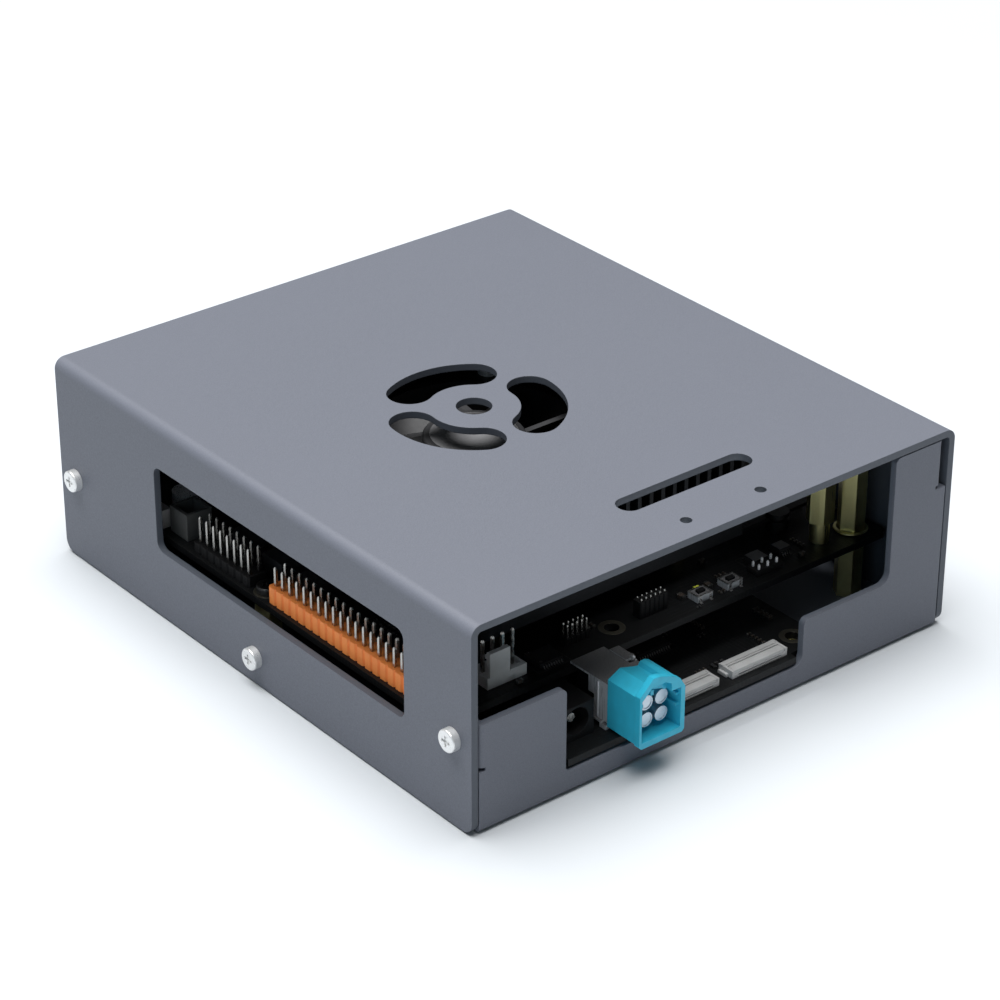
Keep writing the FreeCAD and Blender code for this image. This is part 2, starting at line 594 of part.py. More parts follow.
def make_boards():
    body = new_body("main_board_body")
    sketch = new_sketch(body, "main_board_outline", "XY_Plane", "board_under")
    draw_box(sketch, "board_left", "board_front", "board_right", "board_rear")
    for x, y in LOW_POSTS + [OPEN_HOLE]:
        draw_circle(sketch, x, y, "board_hole")
    pad(body, sketch, "board_thick")
    fillet(body, "main_board_corners", "board_corner", "z",
           corners("board_left", "board_front", "board_right", "board_rear"))
    node(body, "main_board")

    body = new_body("front_board_body")
    sketch = new_sketch(body, "front_board_outline", "XY_Plane", "low_board_under")
    draw_polygon(sketch, [
        ("low_left", "low_front"), ("low_notch_x", "low_front"), ("low_notch_x", "low_notch_y"),
        ("low_right", "low_notch_y"), ("low_right", "low_rear"), ("low_left", "low_rear")])
    for x, y in FRONT_POSTS:
        draw_circle(sketch, x, y, "board_hole")
    pad(body, sketch, "board_thick")
    node(body, "front_board")
    node(box("link_block", ("link_left", "link_front", "low_board_under + board_thick"),
             ("link_wide", "link_deep", "board_under - low_board_under - board_thick")), "board_link")


# ---- pin headers --------------------------------------------------------------------------------

def square_pin(x, y, low, top, side, tip):
    """A square pin with a pyramid tip."""
    half, small = side / 2, side / 4
    shaft = Part.makeBox(side, side, top - tip - low, FreeCAD.Vector(x - half, y - half, low))
    rings = [[FreeCAD.Vector(x + i * r, y + j * r, z) for i, j in ((-1, -1), (1, -1), (1, 1), (-1, 1))]
             for r, z in ((half, top - tip), (small, top))]
    point = Part.makeLoft([Part.makePolygon(ring + ring[:1]) for ring in rings], True, True)
    return shaft.fuse(point).removeSplitter()


def header_outline(columns, rows, pitch, notch, along):
    """A moulding's outline round its pins, notched on its long sides between the columns."""
    half = rows * pitch / 2
    side = []
    for column in range(columns):
        start = (column - 0.5) * pitch
        side += [(start, half - notch), (start + notch, half), (start + pitch - notch, half)]
    side.append(((columns - 0.5) * pitch, half - notch))
    points = side + [(u, -v) for u, v in reversed(side)]
    offset = (rows - 1) * pitch / 2
    places = [(u, v + offset) if along == "x" else (v + offset, u) for u, v in points]
    return [FreeCAD.Vector(x, y, 0) for x, y in places]


def make_header(name, first, along, columns, rows, pitch, side, high, top, notch):
    """The pins and the moulding of one header that stands on the main board."""
    low = mm("board_under + board_thick")
    x, y = mm(first[0]), mm(first[1])
    pins = []
    for column in range(columns):
        for row in range(rows):
            u, v = column * mm(pitch), row * mm(pitch)
            spot = (x + u, y + v) if along == "x" else (x + v, y + u)
            pins.append(square_pin(*spot, low, mm(top), mm(side), mm("pin_tip") * mm(side) / mm("pin_side")))
    outline = header_outline(columns, rows, mm(pitch), notch, along)
    face = Part.Face(Part.makePolygon(outline + outline[:1]))
    face.translate(FreeCAD.Vector(x, y, low))
    moulding = face.extrude(FreeCAD.Vector(0, 0, mm(high))).cut(Part.makeCompound(pins))
    node(coded(f"{name}_moulding", moulding), f"{name}_body")
    node(coded(f"{name}_pin_set", Part.makeCompound(pins)), f"{name}_pins")


def make_headers():
    make_header("gpio", ("row_near", "gpio_front"), "y", 20, 2, "pitch", "pin_side", "gpio_high",
                "pin_top", mm("body_notch"))
    make_header("aux", ("row_near", "aux_front"), "y", 8, 2, "pitch", "pin_side", "aux_high",
                "pin_top", mm("body_notch"))
    make_header("debug", ("debug_left", "debug_front"), "x", 5, 2, "fine_pitch", "fine_pin", "fine_body",
                "fine_top", mm("body_notch") / 2)
    make_header("serial", ("serial_left", "serial_front"), "x", 6, 2, "fine_pitch", "fine_pin",
                "serial_body", "fine_top", mm("body_notch") / 2)


def make_fan_plug():
    low = "board_under + board_thick"
    pins = [square_pin(mm("plug_pin_left") + i * mm("pitch"), mm("plug_pin_y"), mm(low),
                       mm("plug_pin_top"), mm("pin_side"), mm("pin_tip")) for i in range(4)]
    pin_set = node(coded("fan_plug_pin_set", Part.makeCompound(pins)), "fan_plug_pins")
    base = box("fan_plug_base", ("plug_left", "plug_front", low), ("plug_wide", "plug_deep", "plug_high"))
    tab = box("fan_plug_tab", ("plug_left + plug_tab_inset", "plug_front", f"{low} + plug_high"),
              ("plug_tab_wide", "plug_tab_thick", f"plug_tab_top - ({low}) - plug_high"))
    barb = box("fan_plug_barb", ("plug_left + plug_tab_inset", "plug_front + plug_tab_thick",
                                 "plug_tab_top - plug_barb_drop"),
               ("plug_tab_wide", "plug_barb_thick", "plug_barb_high"))
    notch = box("fan_plug_notch", ("plug_left + plug_tab_inset + plug_tab_wide",
                                   "plug_front + plug_tab_thick", f"{low} + plug_high - plug_floor_drop"),
                ("plug_wide - plug_tab_wide - plug_tab_thick", "plug_deep - 2 * plug_tab_thick",
                 "plug_floor_drop + 1"))
    body = cut("fan_plug_moulding", fuse("fan_plug_blank", [base, tab, barb]), [notch, pin_set])
    node(body, "fan_plug_body")


# ---- front connectors ---------------------------------------------------------------------------

# outlines of the coax socket seen from the front, from its left side and its underside
COAX_COLLAR = [(0, 0.6), (0.6, 0), (11.4, 0), (12, 0.6), (12, 10.6), (10.6, 12.9), (8.4, 14.2), (5.2, 15.4),
               (3.4, 15.6), (0, 12.2)]
COAX_BARREL = [(0.15, 0.75), (0.75, 0.15), (11.25, 0.15), (11.85, 0.75), (11.85, 10.4), (10.9, 12.5),
               (9.7, 13.0), (8.6, 12.9), (8.0, 12.1), (7.0, 12.3), (3.3, 13.4), (0.15, 11.8)]
COAX_MOUTH = [(0.6, 1.4), (10.9, 1.4), (10.9, 10.8), (8.3, 10.8), (8.3, 12.6), (6.6, 13.5), (3.2, 13.5),
              (0.6, 11.2)]
COAX_CAVITY = [(0.8, 1.4), (10.9, 1.4), (10.9, 10.8), (7.4, 10.8), (7.4, 11.2), (3.3, 12.3), (0.8, 10.9)]
# (left, low, right, high) of each coding key in the socket's mouth
COAX_KEYS = [(10.2, 6.2, 11.0, 6.8), (10.2, 8.7, 11.0, 9.3), (0.7, 9.2, 1.5, 9.9), (3.4, 11.2, 4.2, 12.4)]
CONTACTS = [(f"contact_x + {i} * contact_pitch / 2", f"contact_z + {j} * contact_pitch / 2")
            for i in (-1, 1) for j in (-1, 1)]
# (y, z, deep, high) of the shield's leg, rib, foot and toe on each side wall, and how far they stand out
SHIELD_TRIM = [(8.3, 13.9, 1.8, 3.8, 0.0), (6.9, 9.3, 0.4, 8.2, 0.2), (5.4, 8.5, 3.0, 0.5, 0.5),
               (4.0, 7.5, 1.9, 1.0, 0.5)]


def coax_outline(points):
    return [(f"coax_left + {x}", f"coax_low + {z}") for x, z in points]


def make_coax():
    body = new_body("coax_body")
    collar = new_sketch(body, "coax_collar_section", "XZ_Plane", "-coax_front")
    draw_polygon(collar, coax_outline(COAX_COLLAR))
    pad(body, collar, "coax_collar", reverse=True)
    barrel = new_sketch(body, "coax_barrel_section", "XZ_Plane", "-(coax_front + coax_collar)")
    draw_polygon(barrel, coax_outline(COAX_BARREL))
    pad(body, barrel, "coax_rear - coax_front - coax_collar", reverse=True)
    cavity = new_sketch(body, "coax_cavity_section", "XZ_Plane", "-coax_front")
    draw_polygon(cavity, coax_outline(COAX_CAVITY))
    pocket(body, cavity, "coax_cavity")
    mouth = new_sketch(body, "coax_mouth", "XZ_Plane", "-coax_front")
    draw_polygon(mouth, coax_outline(COAX_MOUTH))
    pocket(body, mouth, "coax_collar")
    keys = new_sketch(body, "coax_keys", "XZ_Plane", "-(coax_front + coax_collar / 2)")
    for left, low, right, high in COAX_KEYS:
        draw_box(keys, f"coax_left + {left}", f"coax_low + {low}", f"coax_left + {right}",
                 f"coax_low + {high}")
    pad(body, keys, "coax_cavity - coax_collar / 2", reverse=True)
    holes = new_sketch(body, "coax_contact_holes", "XZ_Plane", "-coax_front")
    for x, z in CONTACTS:
        draw_circle(holes, x, z, "contact_radius")
    pocket(body, holes, "coax_rear - coax_front + 1")
    node(body, "coax_housing")

    contacts = []
    for number, (x, z) in enumerate(CONTACTS, start=1):
        barrel = rod(f"contact_{number}_barrel", (x, "contact_front", z), "contact_radius",
                     "coax_rear - contact_front", "y")
        dish = rod(f"contact_{number}_dish", (x, "contact_front", z), "contact_radius - contact_rim",
                   "contact_dish", "y")
        contacts.append(cut(f"contact_{number}", barrel, [dish]))
    node(group("contact_set", contacts), "coax_contacts")


def make_shield():
    """The stamped shell behind the coax socket, and the insulator that it folds over."""
    wide = "shield_right - shield_left"
    under = "shield_top - shield_plate"
    shell = box("shield_shell", ("shield_left", "coax_rear", "shield_front_low"),
                (wide, "shield_back - coax_rear", f"{under} - shield_front_low"))
    lid = box("shield_lid", ("shield_left", "coax_rear", under),
              (f"{wide} - shield_step", "shield_rear - coax_rear", "shield_plate"))
    ear = box("shield_ear", ("shield_right - shield_step", "shield_back + ear_gap", f"{under} + ear_rise"),
              ("shield_step", "ear_deep", "shield_plate"))
    lug = rod("shield_lug", ("shield_right - lug_inset", "shield_back + lug_inset", under), "lug_radius",
              "lug_high")
    trim = []
    for number, (y, z, deep, high, out) in enumerate(SHIELD_TRIM, start=1):
        for side, x in (("left", f"shield_left - {out}"), ("right", "shield_right - shield_plate")):
            trim.append(box(f"shield_{side}_trim_{number}", (x, y, z), (f"shield_plate + {out}", deep, high)))
    node(fuse("shield_solid", [shell, lid, ear, lug] + trim), "coax_shield")

    floor = "low_board_under + board_thick"
    inner = "shield_left + insulator_gap"
    node(box("insulator_block", (inner, "shield_back", floor),
             (f"shield_right - insulator_gap - ({inner})", "insulator_rear - shield_back",
              f"{under} - ({floor})")), "coax_insulator")


def make_supply_jack():
    floor = "low_board_under + board_thick"
    axis = f"{floor} + supply_axis"
    block = box("jack_block", ("supply_x - supply_wide / 2", "supply_front", floor),
                ("supply_wide", "supply_deep", "supply_high"))
    bore = rod("jack_bore", ("supply_x", "supply_front", axis), "supply_bore", "supply_bore_deep", "y")
    node(cut("jack_shell", block, [bore]), "dc_jack")
    node(rod("jack_pin", ("supply_x", "supply_front + supply_pin_inset", axis), "supply_pin",
             "supply_bore_deep - supply_pin_inset", "y"), "dc_jack_pin")


def make_film_sockets():
    floor = "low_board_under + board_thick"
    bodies = []
    for side, x in (("left", "film_left_x"), ("right", "film_right_x")):
        block = box(f"film_{side}_block", (x, "film_front", floor), ("film_wide", "film_deep", "film_high"))
        recess = box(f"film_{side}_recess", (f"{x} + film_cheek", "film_front - 1", f"{floor} + film_shelf"),
                     ("film_wide - 2 * film_cheek", "film_shelf_deep + 1", "film_high"))
        mouth = box(f"film_{side}_mouth",
                    (f"{x} + film_mouth_inset", "film_front - 1", f"{floor} + film_mouth_low"),
                    ("film_wide - 2 * film_mouth_inset", "film_mouth_deep + 1", "film_mouth_high"))
        groove = box(f"film_{side}_groove",
                     (f"{x} + film_cheek", "film_front + film_deep - film_groove_back",
                      f"{floor} + film_high - film_groove_deep"),
                     ("film_wide - 2 * film_cheek", "film_groove_wide", "1"))
        bodies.append(cut(f"film_{side}_body", block, [recess, mouth, groove]))
        long = "film_wide - 2 * flap_inset"
        bar = box(f"film_{side}_bar", (f"{x} + flap_inset", "film_front + flap_front", f"{floor} + flap_low"),
                  (long, "flap_deep", "flap_high"))
        eye = rod(f"film_{side}_eye", (f"{x} + flap_inset", "film_front + flap_front + flap_deep",
                                       f"{floor} + flap_low + flap_high / 2"), "flap_high / 2", long, "x")
        node(fuse(f"film_{side}_flap", [bar, eye]), f"film_latch_{side}")
    node(group("film_bodies", bodies), "film_sockets")


def make_tact_switches():
    floor = "board_under + board_thick"
    for name, x in (("reset", "tact_first"), ("boot", "tact_second")):
        block = box(f"{name}_block", (f"{x} - tact_wide / 2", "tact_y - tact_deep / 2", floor),
                    ("tact_wide", "tact_deep", "tact_high"))
        well = box(f"{name}_well",
                   (f"{x} - tact_cap_long / 2 - tact_gap", "tact_y - tact_cap_wide / 2 - tact_gap",
                    f"{floor} + tact_high - tact_well_deep"),
                   ("tact_cap_long + 2 * tact_gap", "tact_cap_wide + 2 * tact_gap", "tact_well_deep + 1"))
        node(cut(f"{name}_body", block, [well]), f"{name}_switch")
        node(box(f"{name}_plunger", (f"{x} - tact_cap_long / 2", "tact_y - tact_cap_wide / 2",
                                     f"{floor} + tact_high - tact_stem"),
                 ("tact_cap_long", "tact_cap_wide", "tact_cap_high + tact_stem")), f"{name}_cap")


# ---- heatsink, fan and computing module ---------------------------------------------------------

def make_heatsink():
    """A base plate with its fins bonded on edge, cut away round the fan and over the fixing screws."""
    plate = new_body("heatsink_body")
    base = new_sketch(plate, "sink_plate", "XY_Plane", "sink_under")
    wide = "(fin_count - 1) * fin_pitch + fin_thick"
    draw_box(base, "sink_left", "sink_front", f"sink_left + {wide}", "sink_front + sink_deep")
    pad(plate, base, "sink_base")
    holes = new_sketch(plate, "sink_screw_holes", "XY_Plane", "sink_under + sink_base")
    for x, y in SINK_SCREWS:
        draw_circle(holes, x, y, "case_screw_hole")
    pocket(plate, holes, "sink_base")
    node(plate, "heatsink")

    floor = "sink_under + sink_base"
    high = f"sink_top - ({floor})"
    fins = [box(f"fin_{number}", (f"sink_left + {number} * fin_pitch", "sink_front", floor),
                ("fin_thick", "sink_deep", high)) for number in range(int(mm("fin_count")))]
    half = "(fan_side / 2 + seam)"
    nest = box("fan_nest", (f"fan_x - {half}", f"fan_y - {half}", "fan_low - nest_drop"),
               (f"2 * {half}", f"2 * {half}", "sink_top - fan_low + nest_drop"))
    wells = [rod(f"sink_well_{number}", (x, y, floor), "board_pan_radius + sink_well_gap", high)
             for number, (x, y) in enumerate(SINK_SCREWS, start=1)]
    node(cut("fins_cut", group("fin_blanks", fins), [nest] + wells), "heatsink_fins")


def blade(number, count):
    """One fan blade: a thin plate set across the hub's skirt at a slant and trimmed to the fan's bore."""
    root, reach, thick = mm("hub_radius - blade_root"), mm("blade_reach"), mm("blade_thick")
    low, high = mm("fan_low + blade_rise"), mm("hub_top - blade_drop")
    slant = mm("blade_slant")
    tall = 2 * (high - low) / math.cos(math.radians(slant))
    plate = Part.makeBox(reach, thick, tall, FreeCAD.Vector(0, -thick / 2, -tall / 2))
    plate.rotate(FreeCAD.Vector(), FreeCAD.Vector(1, 0, 0), slant)
    plate.translate(FreeCAD.Vector(0, 0, (low + high) / 2))
    ring = Part.makeCylinder(reach, high - low, FreeCAD.Vector(0, 0, low))
    plate = plate.common(ring.cut(Part.makeCylinder(root, high - low, FreeCAD.Vector(0, 0, low))))
    plate.rotate(FreeCAD.Vector(), FreeCAD.Vector(0, 0, 1), 360 * number / count)
    return plate


def make_fan():
    half = "fan_side / 2"
    shell = rounded("fan_shell", box("fan_block", (f"fan_x - {half}", f"fan_y - {half}", "fan_low"),
                                     ("fan_side", "fan_side", "fan_top - fan_low")), "fan_corner",
                    lambda edge: runs_along(edge, "z"))
    bore = rod("fan_bore_cut", ("fan_x", "fan_y", "fan_low"), "fan_bore", "fan_top - fan_low")
    ears = [rod(f"fan_ear_hole_{i}_{j}", (f"fan_x + {i} * fan_hole_pitch / 2",
                                          f"fan_y + {j} * fan_hole_pitch / 2", "fan_low"), "fan_hole",
                "fan_top - fan_low") for i in (-1, 1) for j in (-1, 1)]
    stator = rod("fan_stator", ("fan_x", "fan_y", "fan_low"), "hub_radius + stator_lip", "strut_thick")
    long = "fan_side - 2 * strut_thick"
    struts = [box("fan_strut_x", (f"fan_x - ({long}) / 2", "fan_y - strut_wide / 2", "fan_low"),
                  (long, "strut_wide", "strut_thick")),
              box("fan_strut_y", ("fan_x - strut_wide / 2", f"fan_y - ({long}) / 2", "fan_low"),
                  ("strut_wide", long, "strut_thick"))]
    axle = rod("fan_axle", ("fan_x", "fan_y", "fan_low + strut_thick"), "axle_radius", "axle_long")
    node(fuse("fan_frame_solid", [cut("fan_ring", shell, [bore] + ears), stator] + struts + [axle]),
         "fan_frame")

    low = mm("fan_low + rotor_rise")
    hub = Part.makeCylinder(mm("hub_radius"), mm("hub_top") - low, FreeCAD.Vector(0, 0, low))
    rim = [edge for edge in hub.Edges if edge.BoundBox.ZMin > mm("hub_top") - 1e-3]
    hub = hub.makeFillet(mm("hub_round"), rim[:1])
    count = int(mm("blade_count"))
    rotor = hub.fuse([blade(number, count) for number in range(count)])
    bore_high = mm("fan_low + strut_thick + axle_long + axle_end_gap")
    rotor = rotor.cut(Part.makeCylinder(mm("axle_radius + axle_clear"), bore_high - low,
                                        FreeCAD.Vector(0, 0, low)))
    rotor = rotor.removeSplitter()
    rotor.translate(vector("fan_x", "fan_y", 0))
    node(coded("fan_rotor_solid", rotor), "fan_rotor")


def make_module():
    corner = ("module_left", "module_front", "module_under")
    size = ("module_wide", "module_deep", "module_thick")
    holes = [rod(f"module_hole_{i}", (x, y, "module_under"), "case_screw_hole", "module_thick")
             for i, (x, y) in enumerate(SINK_SCREWS, start=1)]
    node(cut("module_drilled", box("module_plate", corner, size), holes), "module_board")
    floor, high = "board_under + board_thick", "module_under - board_under - board_thick"
    node(group("module_link_set", [
        box(f"module_link_{i}", (x, "module_front + module_link_front", floor),
            ("module_link_wide", "module_link_long", high))
        for i, x in enumerate(("module_left + module_link_inset",
                               "module_left + module_wide - module_link_inset - module_link_wide"),
                              start=1)]),
        "module_connectors")
    top = "module_under + module_thick"
    spacers = []
    for number, (x, y) in enumerate(SINK_SCREWS, start=1):
        for level, low, tall in (("low", floor, high), ("high", top, f"sink_under - ({top})")):
            ring = rod(f"spacer_{level}_{number}", (x, y, low), "foot_collar_radius", tall)
            eye = rod(f"spacer_{level}_{number}_eye", (x, y, low), "case_screw_hole", tall)
            spacers.append(cut(f"spacer_{level}_{number}_ring", ring, [eye]))
    node(group("spacer_set", spacers), "module_spacers")
    half = "chip_side / 2"
    node(box("processor_block", (f"fan_x - {half}", f"fan_y - {half}", top),
             ("chip_side", "chip_side", f"sink_under - ({top})")), "processor")


# ---- loose parts on the boards ------------------------------------------------------------------

# (x, y, wide, deep, high) of each flat chip, measured to its middle
CHIPS = [(38.0, 120.8, 7.0, 5.0, 1.0), (62.0, 120.8, 7.0, 5.0, 1.0), (84.0, 120.8, 6.0, 6.0, 0.9),
         (101.0, 119.0, 7.0, 7.0, 0.9), (35.0, 20.4, 6.0, 5.0, 1.0), (95.5, 22.6, 4.0, 3.6, 1.4),
         (102.4, 22.4, 3.2, 3.0, 1.6), (15.5, 41.0, 6.0, 8.0, 1.2), (15.5, 57.0, 6.0, 6.0, 0.9)]
LOW_CHIP = (64.5, 24.5, 9.0, 9.0, 1.2)
# middle (x, y) of each power choke and of each capacitor can
CHOKES = [(15.8, 71.0), (15.8, 83.0), (15.8, 95.0)]
CANS = [(14.6, 30.0), (13.4, 116.6)]
# (left, front, wide, deep, high) of the supply and sense sockets
SUPPLY_SOCKET = (6.0, 105.4, 6.5, 6.5, 6.3)
SENSE_SOCKET = (3.2, 113.4, 4.0, 5.2, 4.4)
# a plug-in drive card: its left edge, front and rear edges, and the screw in the middle of its front edge
CARD = {"left": 98.0, "wide": 22.0, "front": 30.5, "rear": 110.0, "thick": 0.8, "rise": 2.5}
CARD_SOCKET = {"front": 107.5, "deep": 7.0, "high": 4.2}
CARD_SCREW = {"x": 109.0, "foot": 2.6, "neck": 1.7, "notch": 1.75, "head_high": 1.0}


def chip(name, place, floor):
    x, y, wide, deep, high = place
    return box(name, (x - wide / 2, y - deep / 2, floor), (wide, deep, high))


def make_loose_parts():
    floor = "board_under + board_thick"
    chips = [chip(f"chip_{i}", place, floor) for i, place in enumerate(CHIPS, start=1)]
    chips.append(chip("chip_low", LOW_CHIP, "low_board_under + board_thick"))
    node(group("chip_set", chips), "board_chips")
    node(group("choke_set", [box(f"choke_{i}", (f"{x} - choke_side / 2", f"{y} - choke_side / 2", floor),
                                 ("choke_side", "choke_side", "choke_high"))
                             for i, (x, y) in enumerate(CHOKES, start=1)]), "board_chokes")
    node(group("can_set", [rod(f"can_{i}", (x, y, floor), "can_radius", "can_high")
                           for i, (x, y) in enumerate(CANS, start=1)]), "board_cans")

    left, front, wide, deep, high = SUPPLY_SOCKET
    mouth = box("supply_mouth",
                (f"{left} + socket_wall", f"{front} + socket_wall", f"{floor} + socket_floor"),
                (f"{wide} - 2 * socket_wall", f"{deep} - 2 * socket_wall", high))
    node(cut("supply_shell", box("supply_block", (left, front, floor), (wide, deep, high)), [mouth]),
         "supply_socket")
    left, front, wide, deep, high = SENSE_SOCKET
    node(box("sense_block", (left, front, floor), (wide, deep, high)), "sense_socket")


def make_drive():
    floor = "board_under + board_thick"
    card_low = f"{floor} + {CARD['rise']}"
    x, y = CARD_SCREW["x"], CARD["front"]
    card = box("drive_plate", (CARD["left"], y, card_low),
               (CARD["wide"], CARD["rear"] - y, CARD["thick"]))
    notch = rod("drive_notch", (x, y, card_low), CARD_SCREW["notch"], CARD["thick"])
    node(cut("drive_notched", card, [notch]), "drive_card")
    shell = box("drive_shell", (CARD["left"], CARD_SOCKET["front"], floor),
                (CARD["wide"], CARD_SOCKET["deep"], CARD_SOCKET["high"]))
    mouth = box("drive_mouth", (CARD["left"] - 1, CARD_SOCKET["front"], card_low),
                (CARD["wide"] + 2, CARD["rear"] - CARD_SOCKET["front"], CARD["thick"]))
    node(cut("drive_slot", shell, [mouth]), "drive_socket")
    head_low = f"{card_low} + {CARD['thick']}"
    node(fuse("drive_post", [rod("drive_foot", (x, y, floor), CARD_SCREW["foot"], CARD["rise"]),
                             rod("drive_neck", (x, y, card_low), CARD_SCREW["neck"], CARD["thick"]),
                             rod("drive_head", (x, y, head_low), CARD_SCREW["foot"],
                                 CARD_SCREW["head_high"])]), "drive_screw")


# ---- rear sockets -------------------------------------------------------------------------------

def socket(name, cavities):
    """A rear socket's metal shell, with its hollows: (offset from the middle, wide, low, high, deep)."""
    middle, wide, high, deep = SOCKETS[name]
    rear = "case_deep + rear_out"
    block = box(f"{name}_block", (middle - wide / 2, f"{rear} - {deep}", "jack_low"), (wide, deep, high))
    hollows = [box(f"{name}_hollow_{i}", (middle + offset - hollow / 2, f"{rear} - {depth}",
                                          f"jack_low + {low}"), (hollow, depth + 1, top - low))
               for i, (offset, hollow, low, top, depth) in enumerate(cavities, start=1)]
    return cut(f"{name}_shell", block, hollows)


def tongue(name, wide, low, thick, front, long):
    """An insulating tongue: it stands on the back wall of its hollow and stops short of the mouth."""
    middle = SOCKETS[name][0]
    return box(f"{name}_tongue_{low}".replace(".", "_"),
               (middle - wide / 2, f"case_deep + rear_out - {front} - {long}", f"jack_low + {low}"),
               (wide, long, thick))


def make_rear_sockets():
    node(socket("usb_c", [(0, 8.4, 0.3, 3.1, 6.4)]), "usb_c_socket")
    node(socket("display", [(0, 14.2, 1.0, 5.6, 9.0), (0, 11.0, 0.4, 1.0, 9.0)]), "display_socket")
    usb = [(0, 12.9, 1.1, 6.6, 13.0), (0, 12.9, 8.9, 14.4, 13.0)]
    node(group("usb_set", [socket(name, usb) for name in ("usb_low", "usb_high")]), "usb_stacks")
    network = [(0, 12.0, 2.6, 10.9, 14.0), (0, 6.2, 1.4, 2.6, 14.0), (0, 3.2, 0.6, 1.4, 14.0)]
    node(group("network_set", [socket(name, network) for name in ("network_low", "network_high")]),
         "network_jacks")
    tongues = [tongue("usb_c", 6.7, 1.35, 0.7, 1.0, 5.4), tongue("display", 11.6, 2.9, 1.2, 1.2, 7.8)]
    for name in ("usb_low", "usb_high"):
        tongues += [tongue(name, 11.2, low, 1.9, 1.0, 12.0) for low in (3.9, 11.7)]
    tongues += [tongue(name, 9.6, 9.4, 1.5, 3.0, 11.0) for name in ("network_low", "network_high")]
    node(group("tongue_set", tongues), "socket_tongues")

    x, z, radius = BUTTON
    block = box("power_block", (f"{x} - power_wide / 2", "power_front", "jack_low"),
                ("power_wide", "power_deep", "power_high"))
    well = rod("power_well", (x, "power_well_front", z), f"{radius} - power_well_inset",
               "power_well_deep", "y")
    node(cut("power_body", block, [well]), "power_switch")
    stem = rod("power_stem", (x, "power_stem_front", z), f"{radius} - power_stem_inset",
               "power_stem_long", "y")
    face = mm("power_cap_front + power_cap_long - case_deep / 2")
    cap = rounded("power_cap", rod("power_cap_blank", (x, "power_cap_front", z), radius,
                                   "power_cap_long", "y"), "power_cap_round",
                  lambda edge: edge.BoundBox.YMin > face - 1e-3 and edge.Length > radius)
    node(fuse("power_plunger", [stem, cap]), "power_button")


# ---- check and write ----------------------------------------------------------------------------

def write_parts():
    doc.recompute()
    for item in doc.Objects:
        if {"Invalid", "Error"} & set(item.State):
            raise ValueError(f"{item.Name} failed: {item.State}")
    os.makedirs("parts", exist_ok=True)
    for item in NODES:
        shape = item.Shape
        if shape.isNull() or not shape.isValid() or not shape.Solids:
            raise ValueError(f"{item.Label} has no sound shape")
        shape.exportStep(f"parts/{item.Label}.step")
        print(f"{item.Label}: {len(shape.Solids)} solids, {shape.Volume:.1f} mm3")


make_cover()
make_tray()
make_screws()
make_posts()
make_boards()
make_headers()
make_fan_plug()
make_coax()
make_shield()
make_supply_jack()
make_film_sockets()
make_tact_switches()
make_heatsink()
make_fan()
make_module()
make_loose_parts()
make_drive()
make_rear_sockets()
write_parts()
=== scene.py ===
import json
import math
import random

import bmesh
import bpy
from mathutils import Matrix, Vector


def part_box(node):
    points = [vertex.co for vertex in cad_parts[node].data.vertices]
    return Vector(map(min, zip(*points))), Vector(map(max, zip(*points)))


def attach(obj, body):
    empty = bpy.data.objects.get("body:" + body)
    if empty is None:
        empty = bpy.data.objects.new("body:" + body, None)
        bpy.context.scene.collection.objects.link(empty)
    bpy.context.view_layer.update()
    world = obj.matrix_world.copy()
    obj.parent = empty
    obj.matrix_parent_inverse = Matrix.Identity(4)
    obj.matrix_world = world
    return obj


MM = 0.001
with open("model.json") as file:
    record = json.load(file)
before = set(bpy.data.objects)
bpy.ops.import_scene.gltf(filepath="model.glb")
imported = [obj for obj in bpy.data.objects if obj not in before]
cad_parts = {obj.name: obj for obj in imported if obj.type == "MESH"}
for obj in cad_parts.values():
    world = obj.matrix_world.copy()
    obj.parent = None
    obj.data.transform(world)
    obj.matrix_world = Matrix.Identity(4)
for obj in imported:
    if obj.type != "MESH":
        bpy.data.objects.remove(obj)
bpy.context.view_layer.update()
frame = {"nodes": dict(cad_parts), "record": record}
nodes = frame["nodes"]
CORNER, FAR_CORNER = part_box("cover")    # the case's front, left, bottom corner and the one across from it


# ---------------------------------------------------------------- materials

